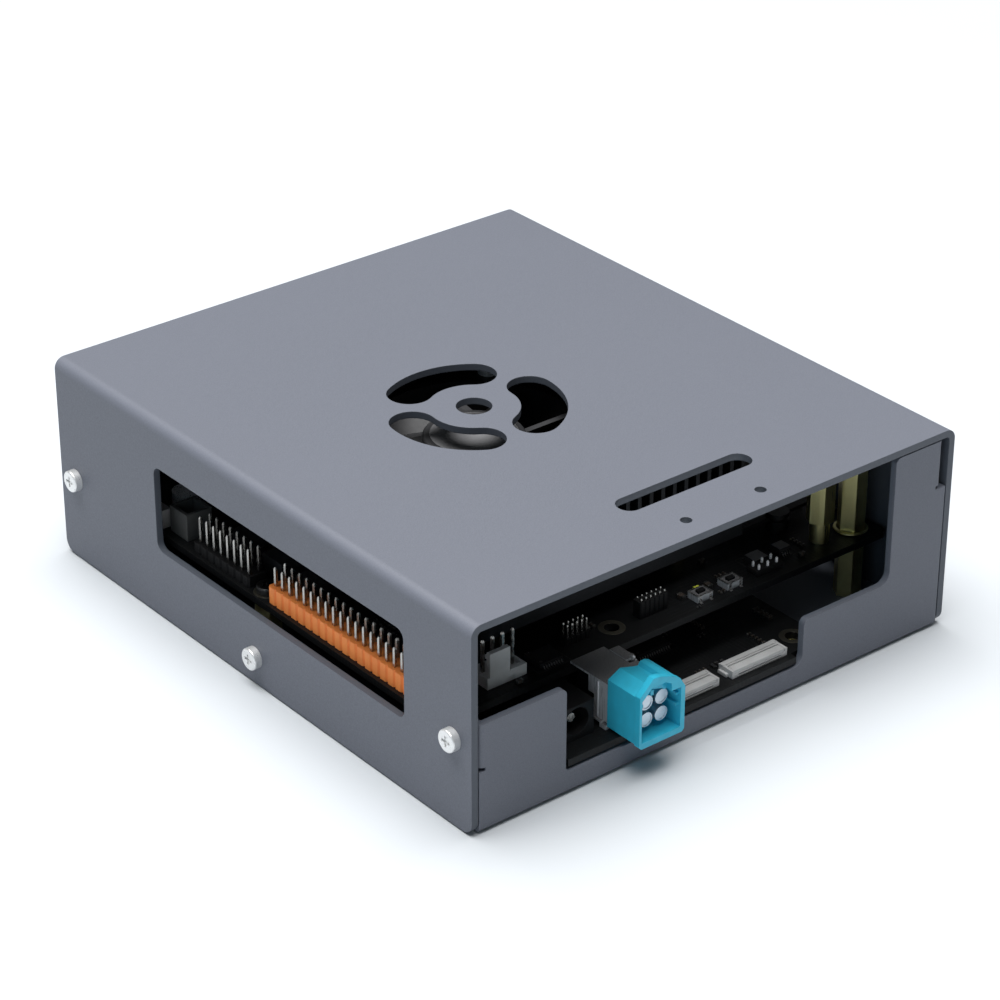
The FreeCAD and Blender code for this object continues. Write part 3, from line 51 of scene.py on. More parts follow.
class Nodes:
    """A material's node tree, with one call for each kind of node."""

    def __init__(self, name):
        self.material = bpy.data.materials.new(name)
        self.material.use_nodes = True
        self.tree = self.material.node_tree
        self.shader = self.tree.nodes["Principled BSDF"]
        self.place = self.make("ShaderNodeTexCoord").outputs["Object"]

    def make(self, kind, **values):
        made = self.tree.nodes.new(kind)
        for name, value in values.items():
            setattr(made, name, value)
        return made

    def feed(self, socket, value):
        if isinstance(value, bpy.types.NodeSocket):
            self.tree.links.new(value, socket)
        else:
            socket.default_value = value

    def stretch(self, scale):
        """The place in the object, stretched along its axes."""
        made = self.make("ShaderNodeMapping")
        made.inputs["Scale"].default_value = scale
        self.feed(made.inputs["Vector"], self.place)
        return made.outputs["Vector"]

    def parts(self, vector):
        made = self.make("ShaderNodeSeparateXYZ")
        self.feed(made.inputs[0], vector)
        return made.outputs

    def noise(self, size, detail=3.0, rough=0.55, vector=None):
        """Noise whose grains are about size metres across."""
        made = self.make("ShaderNodeTexNoise")
        made.inputs["Scale"].default_value = 1.0 / size
        made.inputs["Detail"].default_value = detail
        made.inputs["Roughness"].default_value = rough
        self.feed(made.inputs["Vector"], vector or self.place)
        return made.outputs["Fac"]

    def spread(self, value, low, high, start=0.3, end=0.7):
        made = self.make("ShaderNodeMapRange")
        made.inputs["From Min"].default_value = start
        made.inputs["From Max"].default_value = end
        made.inputs["To Min"].default_value = low
        made.inputs["To Max"].default_value = high
        self.feed(made.inputs["Value"], value)
        return made.outputs["Result"]

    def maths(self, how, a, b=0.0):
        made = self.make("ShaderNodeMath", operation=how)
        self.feed(made.inputs[0], a)
        self.feed(made.inputs[1], b)
        return made.outputs[0]

    def blend(self, share, a, b):
        made = self.make("ShaderNodeMix", data_type="RGBA")
        self.feed(made.inputs[0], share)
        for socket, value in ((made.inputs[6], a), (made.inputs[7], b)):
            self.feed(socket, value if isinstance(value, bpy.types.NodeSocket) else (*value, 1.0))
        return made.outputs[2]

    def edges(self, radius):
        """1 along sharp edges, 0 on flat faces, and the rounded normal there."""
        soft = self.make("ShaderNodeBevel", samples=4)
        soft.inputs["Radius"].default_value = radius
        flat = self.make("ShaderNodeNewGeometry")
        dot = self.make("ShaderNodeVectorMath", operation="DOT_PRODUCT")
        self.feed(dot.inputs[0], soft.outputs["Normal"])
        self.feed(dot.inputs[1], flat.outputs["Normal"])
        return self.spread(dot.outputs["Value"], 1.0, 0.0, 0.75, 0.99), soft.outputs["Normal"]

    def beyond(self, value, limit):
        """1 where the value's size is over a limit in metres."""
        return self.maths("GREATER_THAN", self.maths("ABSOLUTE", value), limit)

    def bump(self, height, distance, normal=None):
        made = self.make("ShaderNodeBump")
        made.inputs["Distance"].default_value = distance
        self.feed(made.inputs["Height"], height)
        if normal is not None:
            self.feed(made.inputs["Normal"], normal)
        self.feed(self.shader.inputs["Normal"], made.outputs["Normal"])

    def finish(self, colour, rough, metallic=0.0, specular=0.5):
        self.feed(self.shader.inputs["Base Color"], colour)
        self.feed(self.shader.inputs["Roughness"], rough)
        self.shader.inputs["Metallic"].default_value = metallic
        self.shader.inputs["Specular IOR Level"].default_value = specular
        return self.material


COAT = 0.06 * MM          # depth within which the cover's outside counts as outer skin
HALF_SHEET = 0.7 * MM     # the same for the tray


def scaled(colour, factor):
    return tuple(min(1.0, c * factor) for c in colour)


def painted(name, colour, inner, bend=None):
    """Fine-texture powder coat. Edges are paler (painted highlight and wear), bends have a painted highlight,
    and inside the outer skin the colour is darker as painted shade. A bend is (where it starts across,
    where it starts up, radius); without one, the skin is the tray's."""
    n = Nodes(name)
    orange_peel = n.noise(0.55 * MM, 2.0)
    specks = n.noise(0.22 * MM, 1.0)
    clouds = n.noise(45 * MM, 3.0)
    edge, soft = n.edges(0.3 * MM)
    across, along, up = n.parts(n.place)
    if bend:
        past_side = n.maths("MAXIMUM", n.maths("SUBTRACT", n.maths("ABSOLUTE", across), bend[0]), 0.0)
        past_top = n.maths("MAXIMUM", n.maths("SUBTRACT", up, bend[1]), 0.0)
        squares = n.maths("ADD", n.maths("MULTIPLY", past_side, past_side),
                          n.maths("MULTIPLY", past_top, past_top))
        outer = n.maths("GREATER_THAN", squares, (bend[2] - COAT) ** 2)
        # the middle of the bend is marked for a painted highlight
        corner = n.spread(n.maths("MULTIPLY", past_side, past_top), 0.0, 0.5, 0.0, bend[2] ** 2 / 2)
        edge = n.maths("MAXIMUM", edge, corner)
    else:
        outer = n.maths("MAXIMUM", n.beyond(along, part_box("tray")[1].y - HALF_SHEET),
                        n.maths("LESS_THAN", up, HALF_SHEET))
    tone = n.blend(n.spread(specks, 0.0, 1.0, 0.3, 0.72), scaled(colour, 0.88), scaled(colour, 1.12))
    tone = n.blend(n.spread(clouds, 0.0, 0.3), tone, scaled(colour, 1.05))
    # paler edges and bend: painted highlight, with wear along the edges
    tone = n.blend(n.maths("MULTIPLY", edge, 0.5), tone, scaled(colour, 1.6))
    # cut edges, reveals and inside faces take the darker inner colour: painted shade
    tone = n.blend(outer, inner, tone)
    n.bump(n.maths("ADD", orange_peel, n.maths("MULTIPLY", specks, 0.5)), 0.014 * MM, soft)
    return n.finish(tone, n.spread(orange_peel, 0.46, 0.58), specular=0.4)


def moulded(name, colour, rough=0.5, grain=0.25 * MM, depth=0.008 * MM, edge_highlight_and_wear=1.5, specular=0.4):
    """Moulded plastic with a fine tool texture, and edges paler as a painted highlight and wear."""
    n = Nodes(name)
    fine = n.noise(grain, 2.0)
    flow = n.noise(3.5 * MM, 2.0)
    edge, soft = n.edges(0.12 * MM)
    tone = n.blend(n.spread(flow, 0.0, 1.0), scaled(colour, 0.92), scaled(colour, 1.08))
    # paler edges: painted highlight and wear
    tone = n.blend(n.maths("MULTIPLY", edge, 0.5), tone, scaled(colour, edge_highlight_and_wear))
    n.bump(fine, depth, soft)
    return n.finish(tone, n.spread(fine, rough - 0.07, rough + 0.08), specular=specular)


def metal(name, colour, rough, along=(1, 1, 1), grain=0.35 * MM, depth=0.003 * MM, stain=0.88, top_shade=None,
          metallic=1.0):
    """Plated, drawn or machined metal; along stretches its fine lines. Edges are paler (painted highlight
    and wear), and the optional dull colour over level, upward faces is painted shade.
    """
    n = Nodes(name)
    lines = n.noise(grain, 3.0, vector=n.stretch(along))
    patches = n.noise(2.6 * MM, 3.0)
    edge, soft = n.edges(0.08 * MM)
    tone = n.blend(n.spread(patches, 0.0, 1.0), scaled(colour, stain), colour)
    # paler edges: painted highlight and wear
    tone = n.blend(n.maths("MULTIPLY", edge, 0.6), tone, scaled(colour, 1.25))
    # upward faces take the given dull colour: painted shade
    if top_shade:
        facing = n.make("ShaderNodeNewGeometry").outputs["Normal"]
        tone = n.blend(n.spread(n.parts(facing)[2], 0.0, 1.0, 0.6, 0.9), tone, top_shade)
    n.bump(lines, depth, soft)
    return n.finish(tone, n.spread(lines, rough * 0.75, rough * 1.3), metallic)


def laminate(name, mask, copper):
    """Solder mask over copper: fields of parallel tracks, plain areas and dots of vias."""
    field_size, track_period, via_spacing = 7.5 * MM, 3.4 * MM, 2.6 * MM
    n = Nodes(name)
    areas = n.make("ShaderNodeTexVoronoi", feature="F1", distance="CHEBYCHEV")
    areas.inputs["Scale"].default_value = 1.0 / field_size
    n.feed(areas.inputs["Vector"], n.place)
    split = n.make("ShaderNodeSeparateColor")
    n.feed(split.inputs["Color"], areas.outputs["Color"])

    def tracks(direction):
        wave = n.make("ShaderNodeTexWave", bands_direction=direction, wave_profile="SIN")
        wave.inputs["Scale"].default_value = 1.0 / track_period
        wave.inputs["Distortion"].default_value = 0.0
        n.feed(wave.inputs["Vector"], n.place)
        return n.spread(wave.outputs["Fac"], 0.0, 1.0, 0.42, 0.58)

    runs = n.make("ShaderNodeMix", data_type="FLOAT")
    n.feed(runs.inputs[0], n.maths("GREATER_THAN", split.outputs[0], 0.5))
    n.feed(runs.inputs[2], tracks("X"))
    n.feed(runs.inputs[3], tracks("Y"))
    shown = n.maths("MULTIPLY", runs.outputs[0], n.maths("GREATER_THAN", split.outputs[1], 0.55))
    dots = n.make("ShaderNodeTexVoronoi", feature="F1")
    dots.inputs["Scale"].default_value = 1.0 / via_spacing
    n.feed(dots.inputs["Vector"], n.place)
    via = n.spread(dots.outputs["Distance"], 1.0, 0.0, 0.07, 0.09)
    ring = n.spread(dots.outputs["Distance"], 1.0, 0.0, 0.13, 0.15)
    weave = n.noise(0.3 * MM, 2.0)
    edge, soft = n.edges(0.05 * MM)
    tone = n.blend(n.maths("MULTIPLY", shown, 0.5), mask, scaled(mask, 1.6))
    tone = n.blend(n.maths("MULTIPLY", ring, 0.45), tone, copper)
    tone = n.blend(via, tone, scaled(mask, 0.5))
    tone = n.blend(n.maths("MULTIPLY", edge, 0.3), tone, (0.07, 0.07, 0.06))
    n.bump(n.maths("ADD", n.maths("ADD", shown, ring), n.maths("MULTIPLY", weave, 0.3)), 0.012 * MM, soft)
    return n.finish(tone, n.spread(weave, 0.42, 0.55), specular=0.22)


PAINT = (0.123, 0.132, 0.159)
# the paint darkened as painted shade, for the sheet's cut edges, reveals and inside faces
SHADED_INNER_PAINT = (0.075, 0.085, 0.104)
BEND_RADIUS = 2.5 * MM
COVER_BEND = (FAR_CORNER.x - BEND_RADIUS, FAR_CORNER.z - BEND_RADIUS, BEND_RADIUS)
LOOKS = {
    "case_paint": painted("blue_grey_powder_coat", PAINT, SHADED_INNER_PAINT, COVER_BEND),
    "nickel_steel": metal("nickel_plated_steel", (0.86, 0.86, 0.85), 0.34, stain=0.94, metallic=0.6),
    "black_steel": metal("black_oxide_steel", (0.05, 0.05, 0.05), 0.38),
    "brass": metal("turned_brass", (0.76, 0.70, 0.34), 0.34, along=(0.5, 0.5, 0.03), grain=1.2 * MM,
                   depth=0.001 * MM, stain=0.93),
    "black_laminate": laminate("black_board", (0.005, 0.0055, 0.006), (0.014, 0.014, 0.013)),
    "black_nylon": moulded("black_nylon", (0.007, 0.007, 0.0075), 0.55, specular=0.18),
    "orange_nylon": moulded("orange_nylon", (1.0, 0.29, 0.07), 0.45, edge_highlight_and_wear=1.15),
    "white_nylon": moulded("pale_nylon", (0.74, 0.75, 0.74), 0.45, edge_highlight_and_wear=1.1),
    "grey_nylon": moulded("grey_nylon", (0.52, 0.52, 0.515), 0.5, edge_highlight_and_wear=1.25),
    "teal_plastic": moulded("teal_plastic", (0.032, 0.44, 0.62), 0.36, edge_highlight_and_wear=1.25),
    "dark_plastic": moulded("dark_fan_plastic", (0.030, 0.030, 0.032), 0.42, edge_highlight_and_wear=2.2, specular=0.35),
    "chip_resin": moulded("black_epoxy", (0.016, 0.016, 0.017), 0.55, grain=0.12 * MM, specular=0.3),
    "plated_pin": metal("tin_plated_contact", (0.50, 0.49, 0.46), 0.26, along=(2, 2, 0.3), stain=0.75),
    # the shield's upward faces get a dull grey as painted shade
    "shield_steel": metal("shield_steel", (0.62, 0.64, 0.66), 0.3, along=(3, 3, 0.1), grain=0.6 * MM,
                          top_shade=(0.21, 0.21, 0.213), metallic=0.35),
    "shell_steel": metal("stamped_shell_steel", (0.66, 0.66, 0.65), 0.28, along=(0.3, 2, 2)),
    "black_aluminium": metal("black_anodised_aluminium", (0.022, 0.023, 0.025), 0.5, along=(2, 0.15, 2)),
    "grey_ferrite": moulded("pressed_ferrite", (0.022, 0.022, 0.024), 0.6, grain=0.2 * MM, depth=0.02 * MM),
    "can_aluminium": metal("drawn_aluminium", (0.84, 0.84, 0.85), 0.3, depth=0.0006 * MM, metallic=0.4),
}
# finishes that only one node or only the added pieces have, with the record's slot that each belongs to
EXTRA_LOOKS = {
    # the tray's cut edges and inside faces get a lighter painted shade than the cover's
    "tray_paint": ("case_paint", painted("blue_grey_tray_coat", PAINT, scaled(SHADED_INNER_PAINT, 1.5))),
    "contact_face": ("plated_pin", metal("satin_contact", (0.60, 0.67, 0.73), 0.42, stain=0.96)),
    "solder": ("plated_pin", metal("solder", (0.26, 0.26, 0.255), 0.3, grain=0.2 * MM, depth=0.01 * MM)),
    "gold": ("plated_pin", metal("gold_plate", (0.62, 0.47, 0.22), 0.3)),
    "pad_ring": ("plated_pin", metal("plated_pad", (0.20, 0.19, 0.155), 0.4)),
    "silk": ("black_laminate", moulded("marking_ink", (0.045, 0.045, 0.044), 0.7, edge_highlight_and_wear=1.0)),
    "ceramic": ("grey_ferrite", moulded("ceramic_chip", (0.045, 0.036, 0.028), 0.5, grain=0.1 * MM)),
    "led_glass": ("grey_nylon", moulded("clear_yellow_lens", (0.62, 0.66, 0.08), 0.3, edge_highlight_and_wear=1.3)),
    "grey_cap": ("shield_steel", metal("dull_can_top", (0.24, 0.24, 0.245), 0.45)),
    "grey_socket": ("black_nylon", moulded("grey_socket_plastic", (0.085, 0.085, 0.082), 0.5)),
    "grey_label": ("dark_plastic", moulded("hub_label", (0.16, 0.16, 0.165), 0.45, edge_highlight_and_wear=1.1)),
}
NODE_LOOKS = {"tray": "tray_paint", "coax_contacts": "contact_face", "supply_socket": "grey_socket"}


def look(name):
    return EXTRA_LOOKS[name][1] if name in EXTRA_LOOKS else LOOKS[name]


for entry in frame["record"]["subparts"]:
    node_mesh = nodes[entry["node"]].data
    node_mesh.materials.clear()
    node_mesh.materials.append(look(NODE_LOOKS.get(entry["node"], entry["material_slot"])))


# ---------------------------------------------------------------- shapes

def span(low, high, step):
    """Evenly spaced numbers about a step apart, centred between two limits."""
    count = max(1, int((high - low) / step + 1e-6) + 1)
    start = (low + high - (count - 1) * step) / 2
    return [start + i * step for i in range(count)]


def rectangle(low, high, inset, z):
    """The four corners of a level rectangle, set in from the box's sides."""
    x0, y0, x1, y1 = low[0] + inset, low[1] + inset, high[0] - inset, high[1] - inset
    return [(x0, y0, z), (x1, y0, z), (x1, y1, z), (x0, y1, z)]


class Shape:
    """One piece, built from closed solids; places are in millimetres from the case's corner."""

    def __init__(self):
        self.mesh = bmesh.new()

    def loft(self, rings, loop=False):
        """Joins rings of equally many points; a loop closes on itself and anything else is capped."""
        rows = [[self.mesh.verts.new(CORNER + Vector(point) * MM) for point in ring] for ring in rings]
        for lower, upper in list(zip(rows, rows[1:])) + ([(rows[-1], rows[0])] if loop else []):
            for i in range(len(lower)):
                j = (i + 1) % len(lower)
                self.mesh.faces.new((lower[i], lower[j], upper[j], upper[i]))
        if not loop:
            self.mesh.faces.new(rows[0][::-1])
            self.mesh.faces.new(rows[-1])
        return self

    def block(self, low, high, chamfer=0.05):
        """A block with chamfered edges round its top and its underside."""
        steps = ((low[2], chamfer), (low[2] + chamfer, 0), (high[2] - chamfer, 0), (high[2], chamfer))
        return self.loft([rectangle(low, high, inset, z) for z, inset in steps])

    def frame(self, low, high, wide):
        """A rectangular frame of that width inside the box."""
        steps = ((low[2], 0), (high[2], 0), (high[2], wide), (low[2], wide))
        return self.loft([rectangle(low, high, inset, z) for z, inset in steps], loop=True)

    def turned(self, centre, profile, axis="z", sides=32, loop=False):
        """A solid turned about an axis through the centre: (radius, height) pairs."""
        rings = []
        for radius, height in profile:
            ring = []
            for i in range(sides):
                u = radius * math.cos(2 * math.pi * i / sides)
                v = radius * math.sin(2 * math.pi * i / sides)
                offset = {"x": (height, u, v), "y": (v, height, u), "z": (u, v, height)}[axis]
                ring.append(tuple(a + b for a, b in zip(centre, offset)))
            rings.append(ring)
        return self.loft(rings, loop)

    def ring(self, centre, inner, outer, low, high, sides=40):
        bevel = min(0.2 * (high - low), 0.2)
        return self.turned(centre, [(outer, low), (outer, high - bevel), (outer - bevel, high),
                                    (inner + bevel, high), (inner, high - bevel), (inner, low)],
                           sides=sides, loop=True)

    def strip(self, start, out, path, wide, thick):
        """A bent flat strip that leaves the start along a level direction: (distance out, height) pairs."""
        out = Vector((*out, 0))
        side = Vector((-out.y, out.x, 0)) * wide / 2
        rings = []
        for index, (u, height) in enumerate(path):
            before, after = path[max(index - 1, 0)], path[min(index + 1, len(path) - 1)]
            run = Vector((after[0] - before[0], after[1] - before[1])).normalized()
            spot = Vector(start) + out * u + Vector((0, 0, height))
            lift = out * (-run.y * thick / 2) + Vector((0, 0, run.x * thick / 2))
            rings.append([spot + side + lift, spot - side + lift, spot - side - lift, spot + side - lift])
        return self.loft(rings)

    def piece(self, name, finish, body="computer"):
        bmesh.ops.recalc_face_normals(self.mesh, faces=self.mesh.faces)
        mesh = bpy.data.meshes.new(name)
        self.mesh.to_mesh(mesh)
        self.mesh.free()
        mesh.shade_smooth()
        mesh.set_sharp_from_angle(angle=math.radians(35))
        mesh.materials.append(look(finish))
        made = bpy.data.objects.new(name, mesh)
        bpy.context.collection.objects.link(made)
        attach(made, body)
        return made


def solids(name):
    """The (low, high) corners of each solid of a CAD node, in millimetres from the case's corner."""
    mesh = bmesh.new()
    mesh.from_mesh(nodes[name].data)
    bmesh.ops.remove_doubles(mesh, verts=mesh.verts, dist=1e-6)
    seen, found = set(), []
    for first in mesh.verts:
        if first in seen:
            continue
        seen.add(first)
        waiting, group = [first], []
        while waiting:
            vert = waiting.pop()
            group.append((vert.co - CORNER) / MM)
            for edge in vert.link_edges:
                other = edge.other_vert(vert)
                if other not in seen:
                    seen.add(other)
                    waiting.append(other)
        found.append((Vector(map(min, zip(*group))), Vector(map(max, zip(*group)))))
    mesh.free()
    return found


SOLIDS = {name: solids(name) for name in nodes}


def middle(box):
    return (box[0] + box[1]) / 2


def top_of(name):
    return SOLIDS[name][0][1].z


# ---------------------------------------------------------------- chips, switches and small parts

LEAD = {"pitch": 0.65, "wide": 0.26, "thick": 0.12, "end_gap": 0.5, "foot": 0.07}
PRINT = 0.02              # thickness of printed marks


def add_leads(shape, box, board):
    """Gull-wing leads along the long sides of a chip, or along all four of a square one."""
    low, high = box
    wide, deep = high.x - low.x, high.y - low.y
    shoulder = (high.z - board) * 0.5
    path = [(0, shoulder), (0.3, shoulder), (0.5, LEAD["foot"]), (0.9, LEAD["foot"])]
    sides = []
    if wide > deep * 0.95:
        places = span(low.x + LEAD["end_gap"], high.x - LEAD["end_gap"], LEAD["pitch"])
        sides += [((x, y), out) for y, out in ((low.y, (0, -1)), (high.y, (0, 1))) for x in places]
    if deep > wide * 0.95:
        places = span(low.y + LEAD["end_gap"], high.y - LEAD["end_gap"], LEAD["pitch"])
        sides += [((x, y), out) for x, out in ((low.x, (-1, 0)), (high.x, (1, 0))) for y in places]
    for (x, y), out in sides:
        shape.strip((x, y, board), out, path, LEAD["wide"], LEAD["thick"])


def add_chip_marks():
    """Each chip's leads, the dot at its first lead and the outline printed round it."""
    dot, margin, line = 0.9, 1.3, 0.13
    leads, marks, outlines = Shape(), Shape(), Shape()
    for low, high in SOLIDS["board_chips"]:
        board = top_of("main_board") if low.z > top_of("front_board") + 1 else top_of("front_board")
        add_leads(leads, (low, high), board)
        marks.ring((low.x + dot, low.y + dot, 0), 0.16, 0.3, high.z - 0.01, high.z + PRINT, sides=16)
        outlines.frame((low.x - margin, low.y - margin, board),
                       (high.x + margin, high.y + margin, board + PRINT), line)
    leads.piece("chip_leads", "solder")
    marks.piece("chip_pin_one_marks", "grey_label")
    outlines.piece("board_outline_marks", "silk")


def add_switch_frames():
    """The stamped cover of each tact switch, open round its button, with four folded legs."""
    stand_out, sheet, rim, leg_inset, leg_wide = 0.06, 0.12, 0.34, 0.7, 0.6
    board = top_of("main_board")
    for name in ("reset", "boot"):
        low, high = SOLIDS[f"{name}_switch"][0]
        leg = [(stand_out, high.z - board), (0.1, 0.3), (0.15, 0.06), (0.7, 0.06)]
        cover = Shape()
        cover.frame((low.x - stand_out, low.y - stand_out, high.z),
                    (high.x + stand_out, high.y + stand_out, high.z + sheet), rim)
        for y, out in ((low.y, -1), (high.y, 1)):
            for x in (low.x + leg_inset, high.x - leg_inset):
                cover.strip((x, y, board), (0, out), leg, leg_wide, sheet)
        cover.piece(f"{name}_switch_cover", "shell_steel")


TALLEST = 1.6        # a solid that starts higher above the board leaves room for small parts
WIDEST = 60          # a wider solid is a board or a part of the case
END_SHARE = 0.24     # the share of a small part's length that each plated end takes
PART_KINDS = [((1.0, 0.5, 0.35), "resistors"), ((1.6, 0.8, 0.45), "resistors"),
              ((1.0, 0.5, 0.5), "capacitors"), ((1.6, 0.8, 0.8), "capacitors"),
              ((2.0, 1.25, 1.0), "capacitors")]


class Board:
    """A board's free top: small parts go where no CAD solid and no other part stands."""

    def __init__(self, level, seed):
        self.level = level
        self.random = random.Random(seed)
        self.taken = [(low, high) for boxes in SOLIDS.values() for low, high in boxes
                      if low.z < level + TALLEST and high.z > level + 0.05 and high.x - low.x < WIDEST]

    def free(self, low, high, gap=0.45):
        return all(low[0] > b.x + gap or high[0] < a.x - gap or low[1] > b.y + gap or high[1] < a.y - gap
                   for a, b in self.taken)

    def part(self, shapes, x, y, turned, size, kind):
        """A two-ended part on the board, unless its place is taken."""
        long, wide, high = size
        dx, dy = (wide / 2, long / 2) if turned else (long / 2, wide / 2)
        low, top = (x - dx, y - dy, self.level), (x + dx, y + dy, self.level + high)
        if not self.free(low, top):
            return
        self.taken.append((Vector(low), Vector(top)))
        share = END_SHARE * long
        body_low, body_high = list(low), list(top)
        axis = 1 if turned else 0
        body_low[axis] += share
        body_high[axis] -= share
        shapes[kind].block(body_low, body_high, 0.04)
        for end in (0, 1):
            end_low, end_high = list(low), list(top)
            if end:
                end_low[axis] = top[axis] - share
            else:
                end_high[axis] = low[axis] + share
            shapes["ends"].block(end_low, end_high, 0.04)

    def scatter(self, shapes, area, groups):
        """Rows of two to six like parts at repeatable places in an area of (left, front, right, rear)."""
        for _ in range(groups):
            x = self.random.uniform(area[0], area[2])
            y = self.random.uniform(area[1], area[3])
            turned = self.random.random() < 0.5
            size, kind = self.random.choice(PART_KINDS)
            for step in range(self.random.randint(2, 6)):
                ahead = step * (size[1] + 0.6)
                spot = (x + ahead, y) if turned else (x, y + ahead)
                if area[0] < spot[0] < area[2] and area[1] < spot[1] < area[3]:
                    self.part(shapes, *spot, turned, size, kind)


def add_small_parts():
    """Rows of chip resistors and capacitors on each board's free areas."""
    areas = {    # board: (level, seed, [(area, rows)])
        "main": (top_of("main_board"), 11, [((25, 15.8, 119, 24.6), 15), ((10, 24, 21.4, 140), 44),
                                            ((121, 25, 126, 138), 26), ((24, 112, 120, 127), 60)]),
        "front": (top_of("front_board"), 5, [((26, 8, 96, 44), 34)]),
        "card": (top_of("drive_card"), 3, [((99, 34, 119, 106), 26)]),
    }
    for name, (level, seed, zones) in areas.items():
        board = Board(level, seed)
        shapes = {kind: Shape() for kind in ("resistors", "capacitors", "ends")}
        if name == "main":
            for x, y in ((109.0, 18.2), (109.0, 20.4), (104.8, 18.3), (86.1, 29.5)):
                board.part(shapes, x, y, False, (1.6, 0.8, 0.8), "capacitors")
        for area, groups in zones:
            board.scatter(shapes, area, groups)
        shapes["resistors"].piece(f"{name}_board_resistors", "chip_resin")
        shapes["capacitors"].piece(f"{name}_board_capacitors", "ceramic")
        shapes["ends"].piece(f"{name}_board_part_ends", "solder")


# ---------------------------------------------------------------- pads, posts and headers

PAD = 0.04                    # thickness of a plated pad
FREE_HOLE = (53.8, 21.2)      # the main board's hole with no post, near its front edge


def add_pads():
    """The plated ring round each board hole, and the flange at the foot of the rightmost tall post."""
    pads = Shape()
    board, low_board = top_of("main_board"), top_of("front_board")
    rings = [(middle(box), 1.7, 3.05, board) for box in SOLIDS["board_standoffs"]]
    rings += [(middle(box), 1.65, 2.9, low_board) for box in SOLIDS["front_standoffs"]]
    rings.append((Vector(FREE_HOLE), 1.65, 2.9, board))
    for spot, inner, outer, level in rings:
        pads.ring((spot.x, spot.y, 0), inner, outer, level, level + PAD)
    pads.piece("board_hole_pads", "pad_ring")

    tall = max(SOLIDS["tall_standoffs"], key=lambda box: box[1].x)
    flange = Shape()
    flange.turned((middle(tall).x, middle(tall).y, board),
                  [(3.2, 0.04), (3.75, 0.1), (3.9, 0.3), (3.75, 0.5), (3.2, 0.62)], loop=True)
    flange.piece("tall_post_flange", "brass")


def add_pin_header():
    """A small header of two rows of three at the front edge, with bright pin tips."""
    left, right, front, rear = 90.9, 98.4, 17.4, 20.6
    first_pin, last_pin, pitch = 92.1, 97.2, 2.54
    board = top_of("main_board")
    body, pins = Shape(), Shape()
    body.block((left, front, board), (right, rear, board + 1.3), 0.15)
    for x in span(first_pin, last_pin, pitch):
        for y in (front + 0.7, rear - 0.7):
            pins.turned((x, y, board), [(0.3, 0.6), (0.3, 2.3), (0.14, 2.55)], sides=8)
    body.piece("front_header_body", "black_nylon")
    pins.piece("front_header_pins", "can_aluminium")


def add_solder_joints():
    """The soldered end of each header pin, below the main board."""
    under = SOLIDS["main_board"][0][0].z
    joints = Shape()
    for name, reach in (("gpio_pins", 0.85), ("aux_pins", 0.85), ("fan_plug_pins", 0.85),
                        ("debug_pins", 0.4), ("serial_pins", 0.4)):
        cone = [(reach, 0.0), (0.75 * reach, -0.12), (0.5 * reach, -0.5), (0.3 * reach, -1.1)]
        for box in SOLIDS[name]:
            joints.turned((middle(box).x, middle(box).y, under), cone, sides=12)
    joints.piece("header_solder_joints", "solder")


def between(a, b):
    return min(a, b), max(a, b)


def add_front_board_details():
    """The film sockets' contacts, ears and latch stops, and the coax shield's ground legs."""
    board = top_of("front_board")
    contact_pitch, end_gap, sheet = 0.5, 1.3, 0.12
    rear_contact = [(0, 0.3), (0.2, 0.25), (0.3, 0.06), (0.75, 0.06)]
    front_contact = [(-0.6, 0.16), (0.0, 0.16), (0.25, 0.1)]
    contacts, fittings = Shape(), Shape()
    for low, high in SOLIDS["film_sockets"]:
        for x in span(low.x + end_gap, high.x - end_gap, contact_pitch):
            contacts.strip((x, high.y, board), (0, 1), rear_contact, 0.22, sheet)
            contacts.strip((x, low.y, board), (0, -1), front_contact, 0.2, sheet)
        for x, out in ((low.x, -1), (high.x, 1)):
            ear_left, ear_right = between(x, x + 0.7 * out)
            fittings.block((ear_left, low.y + 1.2, board), (ear_right, high.y - 0.5, board + 0.9), 0.1)
            stop_left, stop_right = between(x, x - 0.5 * out)
            fittings.block((stop_left, high.y - 1.2, high.z - 0.1),
                           (stop_right, high.y - 0.3, high.z + sheet), 0.04)
    contacts.piece("film_socket_contacts", "solder")
    fittings.piece("film_socket_end_fittings", "grey_nylon")

    low, high = SOLIDS["coax_shield"][0]
    legs = Shape()
    for x, out in ((low.x, -1), (high.x, 1)):
        for y in (high.y - 2.6, high.y - 5.0):
            legs.strip((x - 0.3 * out, y, board), (out, 0), [(0, 1.6), (0.15, 1.3), (0.2, 0.05)], 0.7, 0.14)
    legs.piece("coax_ground_legs", "can_aluminium")


